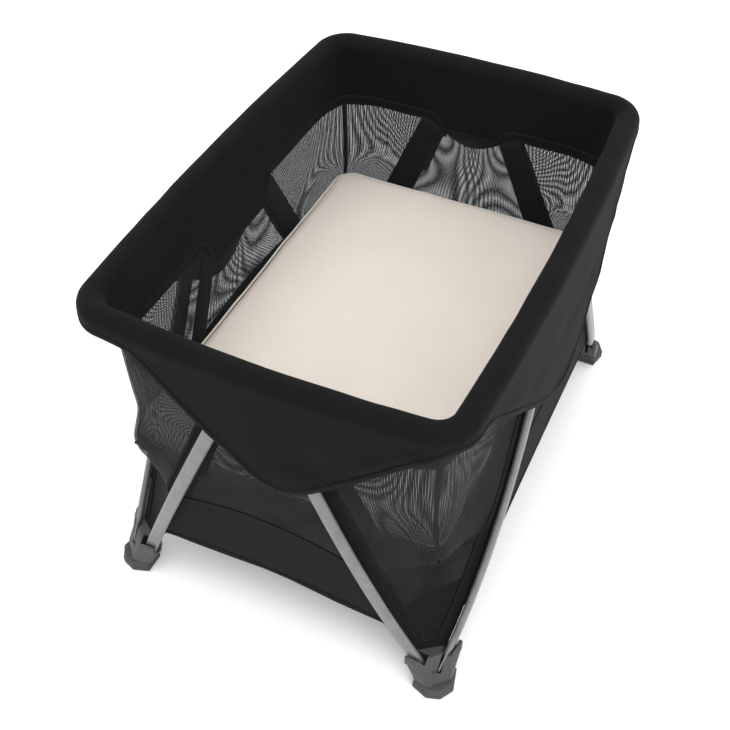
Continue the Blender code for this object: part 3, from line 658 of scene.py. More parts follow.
def make_foam(side, body):
    """The foam tube inside the roll, slotted from below over the rails."""
    rings = []
    inner, outer = 0.0135, ROLL_RADIUS - 0.0022
    for station in rim_stations(side):
        ring = []
        for k in range(17):
            angle = math.radians(-70 + 320 * k / 16)
            ring.append((outer * math.cos(angle), outer * math.sin(angle)))
        for k in range(17):
            angle = math.radians(250 - 320 * k / 16)
            ring.append((inner * math.cos(angle), inner * math.sin(angle)))
        rings.append([on_rim(side, station, a, ROLL_Z + b) for a, b in ring])
    foam = new_object("rim_foam_" + side, loft_mesh("rim_foam_" + side, rings), [MATERIALS["rubber"]])
    attach(foam, body)
    fold_with_frame(foam, side)


# ---------------------------------------------------------------- walls and corner panels

def leg_reach(kind, z):
    """How far along its side a leg's centre is at a height."""
    return curve_at_height(LONG_LEG, z).x if kind == "side" else curve_at_height(SHORT_LEG, z).y


def wall_out(kind, z):
    """How far out a side's cloth is at a height: just inside the legs, and inside the rails above."""
    if kind == "side":
        leg, plane = curve_at_height(LONG_LEG, z).y, WALL_Y
    else:
        leg, plane = curve_at_height(SHORT_LEG, z).x, WALL_X
    behind_leg = leg - LEG_THICK / 2 - LEG_GAP
    return behind_leg + (plane - behind_leg) * smooth_step(z, 0.52, 0.68)


def make_wall(side):
    """The wall between a side's two legs: netting above, canvas below, solid strips along the legs."""
    kind = SIDES[side][0]
    body = "rail_hub_" + side
    columns = [-1.0 + 2.0 * k / 28 for k in range(29)]
    levels = 26
    border = 9

    def height(c, i):
        hem = WALL_HEM + WALL_ARCH * (1 - c * c)
        middle = WALL_SOLID + 0.030 * (1 - c * c)
        if i <= border:
            return hem + (middle - hem) * i / border
        return middle + (WALL_TOP - middle) * (i - border) / (levels - border)

    rows = []
    for i in range(levels + 1):
        row = []
        for c in columns:
            z = height(c, i)
            along = c * (leg_reach(kind, z) - 0.0015)
            free = (1 - c * c) * min(1.0, i / 6)
            belly = 0.0040 * ripple(along, z, 21.0 if kind == "side" else 27.0, 0.16) * free
            row.append(place(side, along, wall_out(kind, z) - 0.004 * free + belly, z))
        rows.append(row)

    def patch(i, j):
        z = (height(columns[j], i) + height(columns[j + 1], i)) / 2
        near_leg = leg_reach(kind, z) * (1 - max(abs(columns[j]), abs(columns[j + 1]))) < LEG_BAND - 0.008
        return 0 if i < border or near_leg else 1

    mesh = sheet_mesh("wall_cloth_" + side, rows, level=border, patch=patch)
    wall = new_object("wall_cloth_" + side, mesh, [MATERIALS["lining"], MATERIALS["netting"]])
    attach(wall, body, ["wall_" + side])
    fold_with_frame(wall, side)
    facing = outward(side)
    for name, row, lift in (("wall_hem_", rows[0], 0.005), ("wall_seam_", rows[border], 0.0)):
        path = [p + facing * 0.0008 + Vector((0, 0, lift)) for p in row]
        trim = add_ribbon(name + side, path, [facing] * len(path), BINDING, BINDING_THICK, "binding")
        attach(trim, body)
        fold_with_frame(trim, side)
    flat = (round(2 * leg_reach(kind, WALL_HEM), 3), round(WALL_TOP - WALL_HEM, 3))


def taut_line(z):
    """The corner cloth's line from the long leg to the short one at a height, pulled tight round the
    bassinet's corner: a list of (x, y) points, and where along it the corner's middle is."""
    start = (curve_at_height(LONG_LEG, z).x, wall_out("side", z))
    end = (wall_out("end", z), curve_at_height(SHORT_LEG, z).y)
    push = smooth_step(z, 0.285, 0.372)
    above = smooth_step(z, BASSINET_TOP_Z, ROLL_Z)
    arc = list(reversed(corner_arc(min(max(z, BASSINET_LOW.z), BASSINET_TOP_Z), 0.004 + 0.005 * above, 7)))
    points = [start]
    for k, (around, _) in enumerate(arc):
        share = (k + 1) / (len(arc) + 1)
        chord = (start[0] + (end[0] - start[0]) * share, start[1] + (end[1] - start[1]) * share)
        points.append((chord[0] + (around.x - chord[0]) * push, chord[1] + (around.y - chord[1]) * push))
    points.append(end)
    hull = []
    for p in sorted(points):
        while len(hull) > 1 and turn_of(hull[-2], hull[-1], p) >= 0:
            hull.pop()
        hull.append(p)
    lengths = steps_along([Vector(p) for p in hull])
    middle = lengths[-1] / 2
    for a, b, low in zip(hull, hull[1:], lengths):
        over_a = (a[0] - 0.33) - (a[1] - 0.18)
        over_b = (b[0] - 0.33) - (b[1] - 0.18)
        if over_a <= 0 < over_b:
            middle = low + (Vector(b) - Vector(a)).length * over_a / (over_a - over_b)
    return hull, lengths, middle


def turn_of(a, b, c):
    return (b[0] - a[0]) * (c[1] - a[1]) - (b[1] - a[1]) * (c[0] - a[0])


def along_line(points, lengths, distance):
    for a, b, low, high in zip(points, points[1:], lengths, lengths[1:]):
        if distance <= high + 1e-9:
            t = (distance - low) / max(high - low, 1e-9)
            return Vector((a[0] + (b[0] - a[0]) * t, a[1] + (b[1] - a[1]) * t))
    return Vector(points[-1])


def panel_row(which, z, inner):
    """Points from the leg to the corner's middle at a height, and the outward direction at each."""
    line, lengths, middle = taut_line(z)
    span = middle if which == "side" else lengths[-1] - middle
    band = min(LEG_BAND, span * 0.6)
    stations = [0.0, band / 2] + [band + (span - band) * k / inner for k in range(inner + 1)]
    row = []
    for distance in stations:
        at = distance if which == "side" else lengths[-1] - distance
        here = along_line(line, lengths, at)
        ahead = along_line(line, lengths, min(lengths[-1], at + 0.004))
        step = ahead - along_line(line, lengths, max(0.0, at - 0.004))
        normal = Vector((-step.y, step.x)).normalized() * -1
        if normal.x + normal.y < 0:
            normal = -normal
        free = math.sin(math.pi * min(1.0, distance / span)) * smooth_step(z, 0.14, 0.30)
        belly = 0.0035 * ripple(here.x, here.y + z, 31.0 if which == "side" else 37.0, 0.12) * free
        here = here + normal * max(belly, -0.002)
        row.append((Vector((here.x, here.y, z)), Vector((normal.x, normal.y, 0))))
    return row


def make_corner_panel(name, which):
    """Half of a corner's panel, from its leg to the middle of the corner."""
    sx, sy = CORNERS[name]
    levels = 34
    heights = [PANEL_LOW + (PANEL_TOP - PANEL_LOW) * k / levels for k in range(levels + 1)]
    flip = Matrix.Diagonal((sx, sy, 1))
    rows, normals = [], []
    for z in heights:
        made = panel_row(which, z, 14)
        rows.append([flip @ p for p, _ in made])
        normals.append([flip @ n for _, n in made])

    def patch(i, j):
        return 0 if j < 2 or heights[i] < PANEL_SOLID else 1

    label = f"corner_{which}_{name}"
    panel = new_object(label, sheet_mesh(label, rows, level=12, patch=patch),
                       [MATERIALS["lining"], MATERIALS["netting"]])
    body = "foot_" + name
    attach(panel, body, ["corner_panel_" + name])
    path = [row[2] + normal[2] * 0.0009 for row, normal in zip(rows[1:], normals[1:])]
    trim = add_ribbon(label + "_seam", path, [n[2] for n in normals[1:]], SEAM_WIDE, BINDING_THICK, "binding")
    attach(trim, body)
    for obj in (panel, trim):
        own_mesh(obj)
    widest = max(steps_along(row)[-1] for row in rows)


# ---------------------------------------------------------------- bassinet

def bassinet_lean(z):
    return BASSINET_LEAN * (z - BASSINET_LOW.z) / (BASSINET_TOP_Z - BASSINET_LOW.z)


def bassinet_corner(z):
    """Radius and turn of each of the two arcs that make a corner, and how long before it they start."""
    share = smooth_step(z, BASSINET_LOW.z, BASSINET_LOW.z + 0.17)
    radius = BASSINET_RADIUS[0] + (BASSINET_RADIUS[1] - BASSINET_RADIUS[0]) * share
    turn = BASSINET_TURN[0] + (BASSINET_TURN[1] - BASSINET_TURN[0]) * share
    return radius, turn, radius * (math.sin(turn) + 1 - math.cos(turn))


def corner_arc(z, grow=0.0, steps=4):
    """The corner at +X +Y, from its X side to its Y side: points with their outward directions."""
    half_x = BASSINET_HALF[0] + bassinet_lean(z) + grow
    half_y = BASSINET_HALF[1] + bassinet_lean(z) + grow
    radius, turn, start = bassinet_corner(z)
    first, second = [], []
    for k in range(steps + 1):
        angle = turn * k / steps
        inset = radius * (1 - math.cos(angle))
        along = radius * math.sin(angle) - start
        facing = (math.cos(angle), math.sin(angle))
        first.append((Vector((half_x - inset, half_y + along, z)), Vector((facing[0], facing[1], 0))))
        second.append((Vector((half_x + along, half_y - inset, z)), Vector((facing[1], facing[0], 0))))
    seam = (first[-1][0], Vector((math.sqrt(0.5), math.sqrt(0.5), 0)))
    return first[:-1] + [seam] + list(reversed(second[:-1]))


def bassinet_outline(z):
    """Points round the bassinet at a height, each with its outward direction."""
    corner = corner_arc(z)
    points = []
    quadrants = ((1, 1), (-1, 1), (-1, -1), (1, -1))
    for quarter, (sx, sy) in enumerate(quadrants):
        flip = Matrix.Diagonal((sx, sy, 1))
        arc = corner if quarter % 2 == 0 else list(reversed(corner))
        points += [(flip @ p, flip @ f) for p, f in arc]
        start, facing = points[-1]
        following = Matrix.Diagonal((*quadrants[(quarter + 1) % 4], 1))
        end = following @ corner[-1 if quarter % 2 == 0 else 0][0]
        count = 28 if quarter % 2 == 0 else 20
        points += [(start.lerp(end, k / count), facing) for k in range(1, count)]
    return points


def bassinet_belly(point, facing, z):
    """The netting's slack between its bands."""
    height = (z - BASSINET_LOW.z) / (BASSINET_TOP_Z - BASSINET_LOW.z)
    free = math.sin(math.pi * min(1.0, max(0.0, height)))
    return facing * (0.0028 * free * ripple(point.x, point.y, z * 0.8 + 50, 0.14))


def make_bassinet():
    """The bassinet's netting, its bindings and seams, and the tabs below its corners."""
    levels = 16
    solid_levels = 2
    first = BASSINET_LOW.z + BASSINET_SOLID
    heights = [BASSINET_LOW.z + BASSINET_SOLID * k / solid_levels for k in range(solid_levels)]
    heights += [first + (BASSINET_TOP_Z - first) * k / (levels - solid_levels)
                for k in range(levels - solid_levels + 1)]
    rows = []
    for z in heights:
        ring = [p + bassinet_belly(p, f, z) for p, f in bassinet_outline(z)]
        rows.append(ring + [ring[0].copy()])
    mesh = sheet_mesh("bassinet_cloth", rows, level=8, patch=lambda i, j: 0 if i < solid_levels else 1)
    cloth = new_object("bassinet_cloth", mesh, [MATERIALS["fabric"], MATERIALS["netting"]])
    weld_seam(cloth)
    attach(cloth, "bassinet", ["bassinet_walls"])
    trims = [make_bassinet_ring("bassinet_zip_band", BASSINET_TOP_Z - 0.004, 0.018),
             make_bassinet_ring("bassinet_low_band", BASSINET_LOW.z + 0.006, BINDING)]
    for side, (kind, _) in SIDES.items():
        for sign in (-1, 1):
            trims.append(make_strip(side, kind, sign))
    for name, corner in CORNERS.items():
        trims.append(make_corner_seam(name, corner))
        make_corner_strap(name, corner)
    around = steps_along(rows[8])[-1]


def weld_seam(obj):
    """Joins the first and last columns of a sheet that goes right round."""
    bm = bmesh.new()
    bm.from_mesh(obj.data)
    bmesh.ops.remove_doubles(bm, verts=bm.verts, dist=1e-5)
    bm.to_mesh(obj.data)
    bm.free()


def make_bassinet_ring(name, z, width):
    """A binding right round the bassinet, on its inner face."""
    outline = bassinet_outline(z)
    path = [p + bassinet_belly(p, f, z) - f * 0.0008 for p, f in outline]
    ring = add_ribbon(name, path, [-f for _, f in outline], width, BINDING_THICK, "binding", closed=True)
    return attach(ring, "bassinet")


def make_strip(side, kind, sign):
    """A solid band on the bassinet's netting, in line with a leg."""
    at, level, slope = STRIP_AT[kind]
    path, normals = [], []
    facing = outward(side)
    half = BASSINET_HALF[1 if kind == "side" else 0]
    for k in range(13):
        z = BASSINET_LOW.z + 0.014 + (BASSINET_TOP_Z - 0.029 - BASSINET_LOW.z) * k / 12
        along = sign * (at + (level - z) * slope)
        flat = place(side, along, half + bassinet_lean(z), z)
        path.append(flat + bassinet_belly(flat, facing, z) - facing * 0.0012)
        normals.append(-facing)
    name = f"strip_{side}_{'left' if sign < 0 else 'right'}"
    strip = add_ribbon(name, path, normals, STRIP_WIDE, WEBBING_THICK, "band")
    return attach(strip, "bassinet")


def make_corner_seam(name, corner):
    """The taped seam down a corner of the bassinet."""
    sx, sy = corner
    facing = Vector((sx, sy, 0)).normalized()
    path, normals = [], []
    for k in range(10):
        z = BASSINET_LOW.z + 0.004 + (BASSINET_TOP_Z - 0.006 - BASSINET_LOW.z) * k / 9
        seam = corner_arc(z)[4][0]
        path.append(Vector((sx * seam.x, sy * seam.y, z)) - facing * 0.0012)
        normals.append(-facing)
    label = "corner_seam_" + name
    seam = add_ribbon(label, path, normals, TAPE_WIDE, TAPE_THICK, "binding")
    return attach(seam, "bassinet")


def make_corner_strap(name, corner):
    """The webbing tab that hangs from the bassinet's floor by each corner."""
    sx, sy = corner
    path, normals = [], []
    facing = Vector((0.80 * sx, 0.60 * sy, 0))
    for k in range(13):
        drop = TAB_LONG * k / 12
        swing = 0.003 * math.sin(2.6 * math.pi * k / 12)
        at = Vector((sx * TAB_AT[0], sy * TAB_AT[1], BASSINET_LOW.z - 0.002 - drop))
        path.append(at + facing * swing + Vector((0, -0.06 * sy * drop, 0)))
        normals.append(facing)
    label = "corner_strap_" + name
    strap = add_ribbon(label, path, normals, TAB_WIDE, WEBBING_THICK, "webbing")
    return attach(strap, "bassinet")


def rounded_outline(half_x, half_y, radius, straight=12, arc=8):
    points = []
    for quarter, (sx, sy) in enumerate(((1, 1), (-1, 1), (-1, -1), (1, -1))):
        for k in range(arc + 1):
            angle = math.radians(90 * quarter + 90 * k / arc)
            points.append((sx * (half_x - radius) + radius * math.cos(angle),
                           sy * (half_y - radius) + radius * math.sin(angle)))
        nx, ny = ((-1, 1), (-1, -1), (1, -1), (1, 1))[quarter]
        angle = math.radians(90 * quarter + 90)
        start = points[-1]
        end = (nx * (half_x - radius) + radius * math.cos(angle),
               ny * (half_y - radius) + radius * math.sin(angle))
        for k in range(1, straight):
            t = k / straight
            points.append((start[0] + (end[0] - start[0]) * t, start[1] + (end[1] - start[1]) * t))
    return points


def make_board():
    """The bassinet's fabric-covered floor board: one sheet, with dips along the sewn channels between its
    four panels.
    """
    low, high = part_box("bassinet_floor")
    half_x, half_y = high.x - 0.001, high.y - 0.001
    columns, rows_count = 65, 25
    rows = []
    for i in range(rows_count):
        row = []
        for j in range(columns):
            x = half_x * (2 * j / (columns - 1) - 1)
            y = half_y * (2 * i / (rows_count - 1) - 1)
            channel = min(abs(abs(x) - half_x / 2), abs(x))
            sag = 0.0022 * (1 - math.exp(-(channel / 0.012) ** 2))
            row.append(Vector((x, y, low.z + 0.0028 - sag * 0.5)))
        rows.append(row)
    board = new_object("bassinet_board", sheet_mesh("bassinet_board", rows), [MATERIALS["fabric"]])
    thicken(board, 0.0035)
    attach(board, "bassinet", ["bassinet_floor"])


# ---------------------------------------------------------------- mattress

def cloth_pad(obj, pressure, cap, voxel):
    """Swells a pad with a cloth simulation, and moves no point further than cap."""
    remesh = obj.modifiers.new("even", "REMESH")
    remesh.mode = "VOXEL"
    remesh.voxel_size = voxel
    apply_modifiers(obj)
    rest = [v.co.copy() for v in obj.data.vertices]
    cloth = obj.modifiers.new("swell", "CLOTH")
    cloth.settings.quality = 3
    cloth.settings.use_pressure = True
    cloth.settings.uniform_pressure_force = pressure
    cloth.settings.tension_stiffness = 30
    cloth.settings.compression_stiffness = 30
    cloth.settings.bending_stiffness = 0.6
    cloth.settings.effector_weights.gravity = 0
    scene = bpy.context.scene
    for step in range(1, 15):
        scene.frame_set(step)
    apply_modifiers(obj)
    scene.frame_set(1)
    for vertex, start in zip(obj.data.vertices, rest):
        moved = vertex.co - start
        if moved.length > cap:
            vertex.co = start + moved * (cap / moved.length)


def make_mattress():
    """The mattress in its fitted sheet: crowned, with soft corners and a piped seam."""
    half_x = BASSINET_HALF[0] - 0.0060
    half_y = BASSINET_HALF[1] - 0.0060
    low, high = MATTRESS_LOW.z + 0.001, MATTRESS_HIGH.z + 0.004
    radius = 0.042
    rings = []
    for inset, z in ((0.010, low), (0.002, low + 0.004), (0.0, (low + high) / 2), (0.002, high - 0.006),
                     (0.009, high)):
        outline = rounded_outline(half_x - inset, half_y - inset, radius - inset * 0.5, 16, 8)
        rings.append([Vector((x, y, z)) for x, y in outline])
    mattress = new_object("mattress_pad", loft_mesh("mattress_pad", rings), [])
    cloth_pad(mattress, 1.2, 0.005, 0.007)
    shape_mattress(mattress, half_x, half_y, (low + high) / 2, high)
    mattress.data.materials.append(MATERIALS["sheet"])
    add_plan_uv(mattress.data)
    for face in mattress.data.polygons:
        face.use_smooth = True
    attach(mattress, "mattress", ["mattress"])
    path, normals = [], []
    outline = rounded_outline(half_x, half_y, radius, 40, 10)
    for x, y in outline:
        facing = Vector((x / half_x ** 2, y / half_y ** 2, 0)).normalized()
        path.append(Vector((x, y, high - 0.010)) + facing * (edge_wave(x, y) + 0.0006))
        normals.append(facing)
    piping = add_ribbon("mattress_piping", path, normals, PIPING, PIPING, "sheet", closed=True)
    attach(piping, "mattress")


def edge_wave(x, y):
    """How the sheet's edge swings in and out on its way round."""
    return 0.0026 * ripple(x, y, 70.0, 0.075)


def shape_mattress(obj, half_x, half_y, middle, high):
    """Crowns the top a little and lets the edge swing in and out."""
    for vertex in obj.data.vertices:
        p = vertex.co
        side_share = max(smooth_step(abs(p.x), half_x - 0.05, half_x),
                         smooth_step(abs(p.y), half_y - 0.05, half_y))
        push = edge_wave(p.x, p.y) * side_share
        facing = Vector((p.x / half_x ** 2, p.y / half_y ** 2, 0)).normalized()
        p += facing * push
        if p.z > middle:
            crown = (1 - (p.x / half_x) ** 4) * (1 - (p.y / half_y) ** 4)
            soft = 0.0010 * ripple(p.x, p.y, 80.0, 0.13)
            p.z += (0.0035 * crown + soft) * smooth_step(p.z, middle, high)


def add_plan_uv(mesh):
    """UV in metres from above, with the sides rolled out below the top."""
    layer = mesh.uv_layers.get("cloth") or mesh.uv_layers.new(name="cloth")
    for face in mesh.polygons:
        steep = face.normal.z < 0.5 and face.normal.z > -0.5
        for loop in face.loop_indices:
            p = mesh.vertices[mesh.loops[loop].vertex_index].co
            if not steep:
                layer.data[loop].uv = (p.x, p.y)
            elif abs(face.normal.x) > abs(face.normal.y):
                layer.data[loop].uv = (p.z, p.y)
            else:
                layer.data[loop].uv = (p.x, p.z)


# ---------------------------------------------------------------- yard floor

def floor_edge(x, y, half, cut):
    """How far to draw in the point x, y so that a rectangle's corner becomes the line between two points."""
    reach = 1 / max(x / half[0], y / half[1])
    return min(1.0, 1 / (reach * toward_cut(x, y, cut)))


def toward_cut(x, y, cut):
    """0 at the middle of the yard, 1 on the line between two points."""
    normal = (cut[0][1] - cut[1][1], cut[1][0] - cut[0][0])
    return (x * normal[0] + y * normal[1]) / (cut[0][0] * normal[0] + cut[0][1] * normal[1])


def make_yard_floor():
    """The yard's own floor, in four quarters that turn up with the floor bars."""
    low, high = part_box("yard_floor")
    z = (low.z + high.z) / 2
    half = (wall_out("end", z) - 0.004, wall_out("side", z) - 0.004)
    edge_z = z - FLOOR_DROP
    cut = ((curve_at_height(LONG_LEG, edge_z).x - 0.003, half[1]),
           (half[0], curve_at_height(SHORT_LEG, edge_z).y - 0.003))
    for name, (sx, sy) in CORNERS.items():
        rows = []
        for i in range(19):
            row = []
            for j in range(25):
                x = half[0] * j / 24
                y = half[1] * i / 18
                share = floor_edge(x, y, half, cut) if i or j else 1.0
                sag = -0.0035 * math.sin(math.pi * i / 18) * math.sin(math.pi * j / 24)
                slack = 0.0015 * ripple(x * sx, y * sy, 90.0, 0.09)
                drop = FLOOR_DROP * smooth_step(toward_cut(x * share, y * share, cut), 0.35, 1.0)
                row.append(Vector((x * share * sx, y * share * sy, z + sag + slack - drop)))
            rows.append(row)
        label = "floor_quarter_" + name
        quarter = new_object(label, sheet_mesh(label, rows), [MATERIALS["lining"]])
        thicken(quarter, 0.002)
        attach(quarter, "floor_bar_" + name, ["yard_floor"])
        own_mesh(quarter)


# ---------------------------------------------------------------- legs

def leg_oval(wide, thick, steps=7):
    """Flat oval: two straight faces joined by half circles."""
    r = thick / 2
    points = []
    for sign in (1, -1):
        for k in range(steps + 1):
            angle = math.radians(-90 + 180 * k / steps)
            points.append((sign * (wide / 2 - r + r * math.cos(angle)), sign * r * math.sin(angle)))
    return points


def make_leg(prefix, points, name, corner):
    """A bent flat-oval tube whose ends are rounded in their own plane."""
    sx, sy = corner
    thin = Vector((0, 1, 0)) if points is LONG_LEG else Vector((1, 0, 0))
    reach = LEG_WIDE / 2
    stations = []
    for k in range(6):
        angle = math.radians(90 * k / 6)
        back = reach * math.cos(angle)
        stations.append((points[0] - curve_slope(points, 0) * back, curve_slope(points, 0), math.sin(angle)))
    stations += [(curve_point(points, k / 40), curve_slope(points, k / 40), 1.0) for k in range(41)]
    for k in range(1, 6):
        angle = math.radians(90 * k / 6)
        ahead = reach * 0.4 * math.sin(angle)
        slope = curve_slope(points, 1)
        stations.append((points[2] + slope * ahead, slope, math.cos(angle) ** 0.5))
    rings = []
    for centre, slope, share in stations:
        wide = slope.cross(thin).normalized()
        depth = wide.cross(slope).normalized()
        width = max(LEG_THICK, LEG_WIDE * max(share, 0.05))
        scale = 1.0 if LEG_WIDE * share >= LEG_THICK else max(0.25, LEG_WIDE * share / LEG_THICK)
        flat = min(1.0, scale + 0.25)
        if points is LONG_LEG:
            full = smooth_step((centre - points[0]).length, *TONGUE_REACH)
            flat = min(flat, (TONGUE_THICK + (LEG_THICK - TONGUE_THICK) * full) / LEG_THICK)
        rings.append([centre + wide * a * scale + depth * b * flat for a, b in leg_oval(width, LEG_THICK)])
    for ring in rings:
        for p in ring:
            p.x *= sx
            p.y *= sy
    label = f"{prefix}_tube_{name}"
    leg = new_object(label, loft_mesh(label, rings), [MATERIALS["leg"]])
    body = f"{prefix}_{name}"
    attach(leg, body, [body])


# ---------------------------------------------------------------- feet

BOOT_LEVELS = (
    (0.0100, ((0.486, 0.384), (0.500, 0.388), (0.5165, 0.388), (0.5475, 0.362), (0.5485, 0.352),
              (0.5415, 0.3235), (0.506, 0.322), (0.486, 0.345))),
    (0.0400, ((0.474, 0.386), (0.494, 0.388), (0.511, 0.3865), (0.5450, 0.354), (0.5465, 0.344),
              (0.5405, 0.316), (0.505, 0.305), (0.474, 0.340))),
    (0.0700, ((0.462, 0.388), (0.474, 0.3885), (0.4955, 0.3800), (0.5375, 0.3380), (0.5400, 0.325),
              (0.5385, 0.302), (0.507, 0.296), (0.462, 0.345))),
    (0.0880, ((0.456, 0.3885), (0.470, 0.3890), (0.4845, 0.3720), (0.5325, 0.3230), (0.5385, 0.308),
              (0.5385, 0.296), (0.508, 0.293), (0.456, 0.350))),
)
# The ears outside the legs rise above the front of the foot
BOOT_EARS = (
    ((0.4560, 0.3790, 0.070), (0.4560, 0.3885, 0.070), (0.4760, 0.3885, 0.070), (0.4790, 0.3790, 0.070),
     (0.4560, 0.3790, 0.0975), (0.4560, 0.3880, 0.0975), (0.4640, 0.3885, 0.0965), (0.4800, 0.3790, 0.0880)),
    ((0.5290, 0.2960, 0.070), (0.5385, 0.2960, 0.070), (0.5385, 0.3160, 0.070), (0.5290, 0.3200, 0.070),
     (0.5290, 0.2960, 0.0940), (0.5380, 0.2960, 0.0940), (0.5370, 0.3010, 0.0930), (0.5310, 0.3180, 0.0880)),
)


def hull_object(name, points):
    bm = bmesh.new()
    for p in points:
        bm.verts.new(p)
    bmesh.ops.convex_hull(bm, input=bm.verts)
    loose = [v for v in bm.verts if not v.link_faces]
    bmesh.ops.delete(bm, geom=loose, context="VERTS")
    bmesh.ops.recalc_face_normals(bm, faces=bm.faces)
    mesh = bpy.data.meshes.new(name)
    bm.to_mesh(mesh)
    bm.free()
    return new_object(name, mesh, [])


def boolean(obj, other, operation):
    """Joins or cuts obj with other, and removes other."""
    modifier = obj.modifiers.new("shape", "BOOLEAN")
    modifier.operation = operation
    modifier.object = other
    modifier.solver = "EXACT"
    bpy.context.view_layer.update()
    apply_modifiers(obj)
    bpy.data.objects.remove(other)


def slot_points(centre, thin, half, reach_in, reach_out, low, high, lean):
    """The eight corners of a leg's slot: half wide each way, leaning outward as it rises."""
    along = Vector((1, 0, 0)) if thin.y else Vector((0, 1, 0))
    points = []
    for z in (low, high):
        shift = lean * max(0.0, z - centre.z)
        for a in (-reach_in, reach_out):
            points.append(Vector((centre.x, centre.y, z)) + along * a - thin * half)
            points.append(Vector((centre.x, centre.y, z)) + along * a + thin * (half + shift))
    return points


def make_boot():
    """The mesh of one foot's moulding, in the corner at +X +Y."""
    boot = None
    for (z0, low), (z1, high) in zip(BOOT_LEVELS, BOOT_LEVELS[1:]):
        points = [Vector((x, y, z0)) for x, y in low] + [Vector((x, y, z1 + 0.0002)) for x, y in high]
        block = hull_object("boot_block", points)
        if boot is None:
            boot = block
        else:
            boolean(boot, block, "UNION")
    for ear in BOOT_EARS:
        boolean(boot, hull_object("ear", [Vector(p) for p in ear]), "UNION")
    long_slot = slot_points(LONG_LEG[0], Vector((0, 1, 0)), 0.0084, 0.12, -0.0135, 0.0800, 0.115, 0.21)
    tongue_slot = slot_points(LONG_LEG[0], Vector((0, 1, 0)), 0.0035, 0.12, 0.0155, 0.0440, 0.115, 0.0)
    short_slot = slot_points(SHORT_LEG[0], Vector((1, 0, 0)), 0.0088, 0.12, 0.0165, 0.0440, 0.115, 0.14)
    for points in (long_slot, tongue_slot, short_slot):
        boolean(boot, hull_object("slot", points), "DIFFERENCE")
    facing = Vector((0.66, 0.75, 0.0)).normalized()
    side = Vector((-facing.y, facing.x, 0))
    mark = Vector((0.5215, 0.3560, 0.0600))
    corners = [mark + side * a * 0.0065 + Vector((0, 0, b * 0.0040)) + facing * c * 0.012
               for a in (-1, 1) for b in (-1, 1) for c in (0, 1)]
    boolean(boot, hull_object("mark", corners), "DIFFERENCE")
    remesh = boot.modifiers.new("mould", "REMESH")
    remesh.mode = "VOXEL"
    remesh.voxel_size = 0.0012
    soften = boot.modifiers.new("soften", "SMOOTH")
    soften.factor = 0.5
    soften.iterations = 2
    bpy.context.view_layer.update()
    apply_modifiers(boot)
    mesh = boot.data
    bpy.data.objects.remove(boot)
    return mesh


PAD_OUTLINE = ((0.478, 0.340), (0.500, 0.318), (0.5440, 0.3185), (0.5560, 0.353), (0.5465, 0.381),
               (0.5185, 0.3980), (0.478, 0.388))


def make_pad_mesh():
    """The mesh of one foot's base pad: a low tray that the moulding stands in."""
    middle = Vector((0.510, 0.349, 0))
    points = []
    for z, grow in ((0.0, -0.0015), (0.0025, 0.0), (0.0200, 0.0), (0.0275, -0.0060)):
        for x, y in PAD_OUTLINE:
            p = Vector((x, y, 0))
            points.append(p + (p - middle).normalized() * grow + Vector((0, 0, z)))
    pad = hull_object("pad", points)
    groove = []
    for z in (0.0115, 0.0129):
        groove += [Vector((x, y, z)) for x, y in ((0.45, 0.28), (0.58, 0.28), (0.58, 0.42), (0.45, 0.42))]
    core = hull_object("core", [middle + (Vector((x, y, 0)) - middle) * 0.965 + Vector((0, 0, z))
                                for x, y in PAD_OUTLINE for z in (0.010, 0.0145)])
    ring = hull_object("ring", groove)
    boolean(ring, core, "DIFFERENCE")
    boolean(pad, ring, "DIFFERENCE")
    bevel = pad.modifiers.new("edge", "BEVEL")
    bevel.width = 0.0012
    bevel.segments = 2
    bevel.limit_method = "ANGLE"
    bpy.context.view_layer.update()
    apply_modifiers(pad)
    mesh = pad.data
    bpy.data.objects.remove(pad)
    return mesh


def mirrored_copy(mesh, name, sx, sy):
    copy = mesh.copy()
    copy.name = name
    copy.transform(Matrix.Diagonal((sx, sy, 1, 1)))
    if sx * sy < 0:
        copy.flip_normals()
    return copy


def make_feet():
    boot, pad = make_boot(), make_pad_mesh()
    for face in boot.polygons:
        face.use_smooth = True
    for name, (sx, sy) in CORNERS.items():
        body = "foot_" + name
        shell_mesh = mirrored_copy(boot, "boot_" + name, sx, sy)
        shell = new_object("boot_" + name, shell_mesh, [MATERIALS["plastic"]])
        attach(shell, body, [body])
        sole = new_object("sole_" + name, mirrored_copy(pad, "sole_" + name, sx, sy), [MATERIALS["rubber"]])
        attach(sole, body, ["foot_pad_" + name])


# ---------------------------------------------------------------- carried-over frame parts

def soften_node(node_name, mat, width=0.0008, segments=2):
    """Gives a frame part its material, and rounds its edges with a bevel."""
    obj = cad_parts[node_name]
    obj.data.materials.clear()
    obj.data.materials.append(mat)
    bevel = obj.modifiers.new("edge", "BEVEL")
    bevel.width = width
    bevel.segments = segments
    bevel.limit_method = "ANGLE"
    bevel.angle_limit = math.radians(35)


def finish_frame_parts():
    for name in CORNERS:
        soften_node("floor_bar_" + name, MATERIALS["bar"])
        soften_node("side_rail_" + name, MATERIALS["bar"])
        soften_node("end_rail_" + name, MATERIALS["bar"])
        soften_node("rim_corner_" + name, MATERIALS["dark_plastic"])
    for side in SIDES:
        soften_node("rail_hub_" + side, MATERIALS["dark_plastic"])
    soften_node("floor_hub", MATERIALS["dark_plastic"], 0.0012)
    soften_node("centre_foot", MATERIALS["rubber"], 0.0020)
    soften_node("fold_handle", MATERIALS["plastic"], 0.0020)


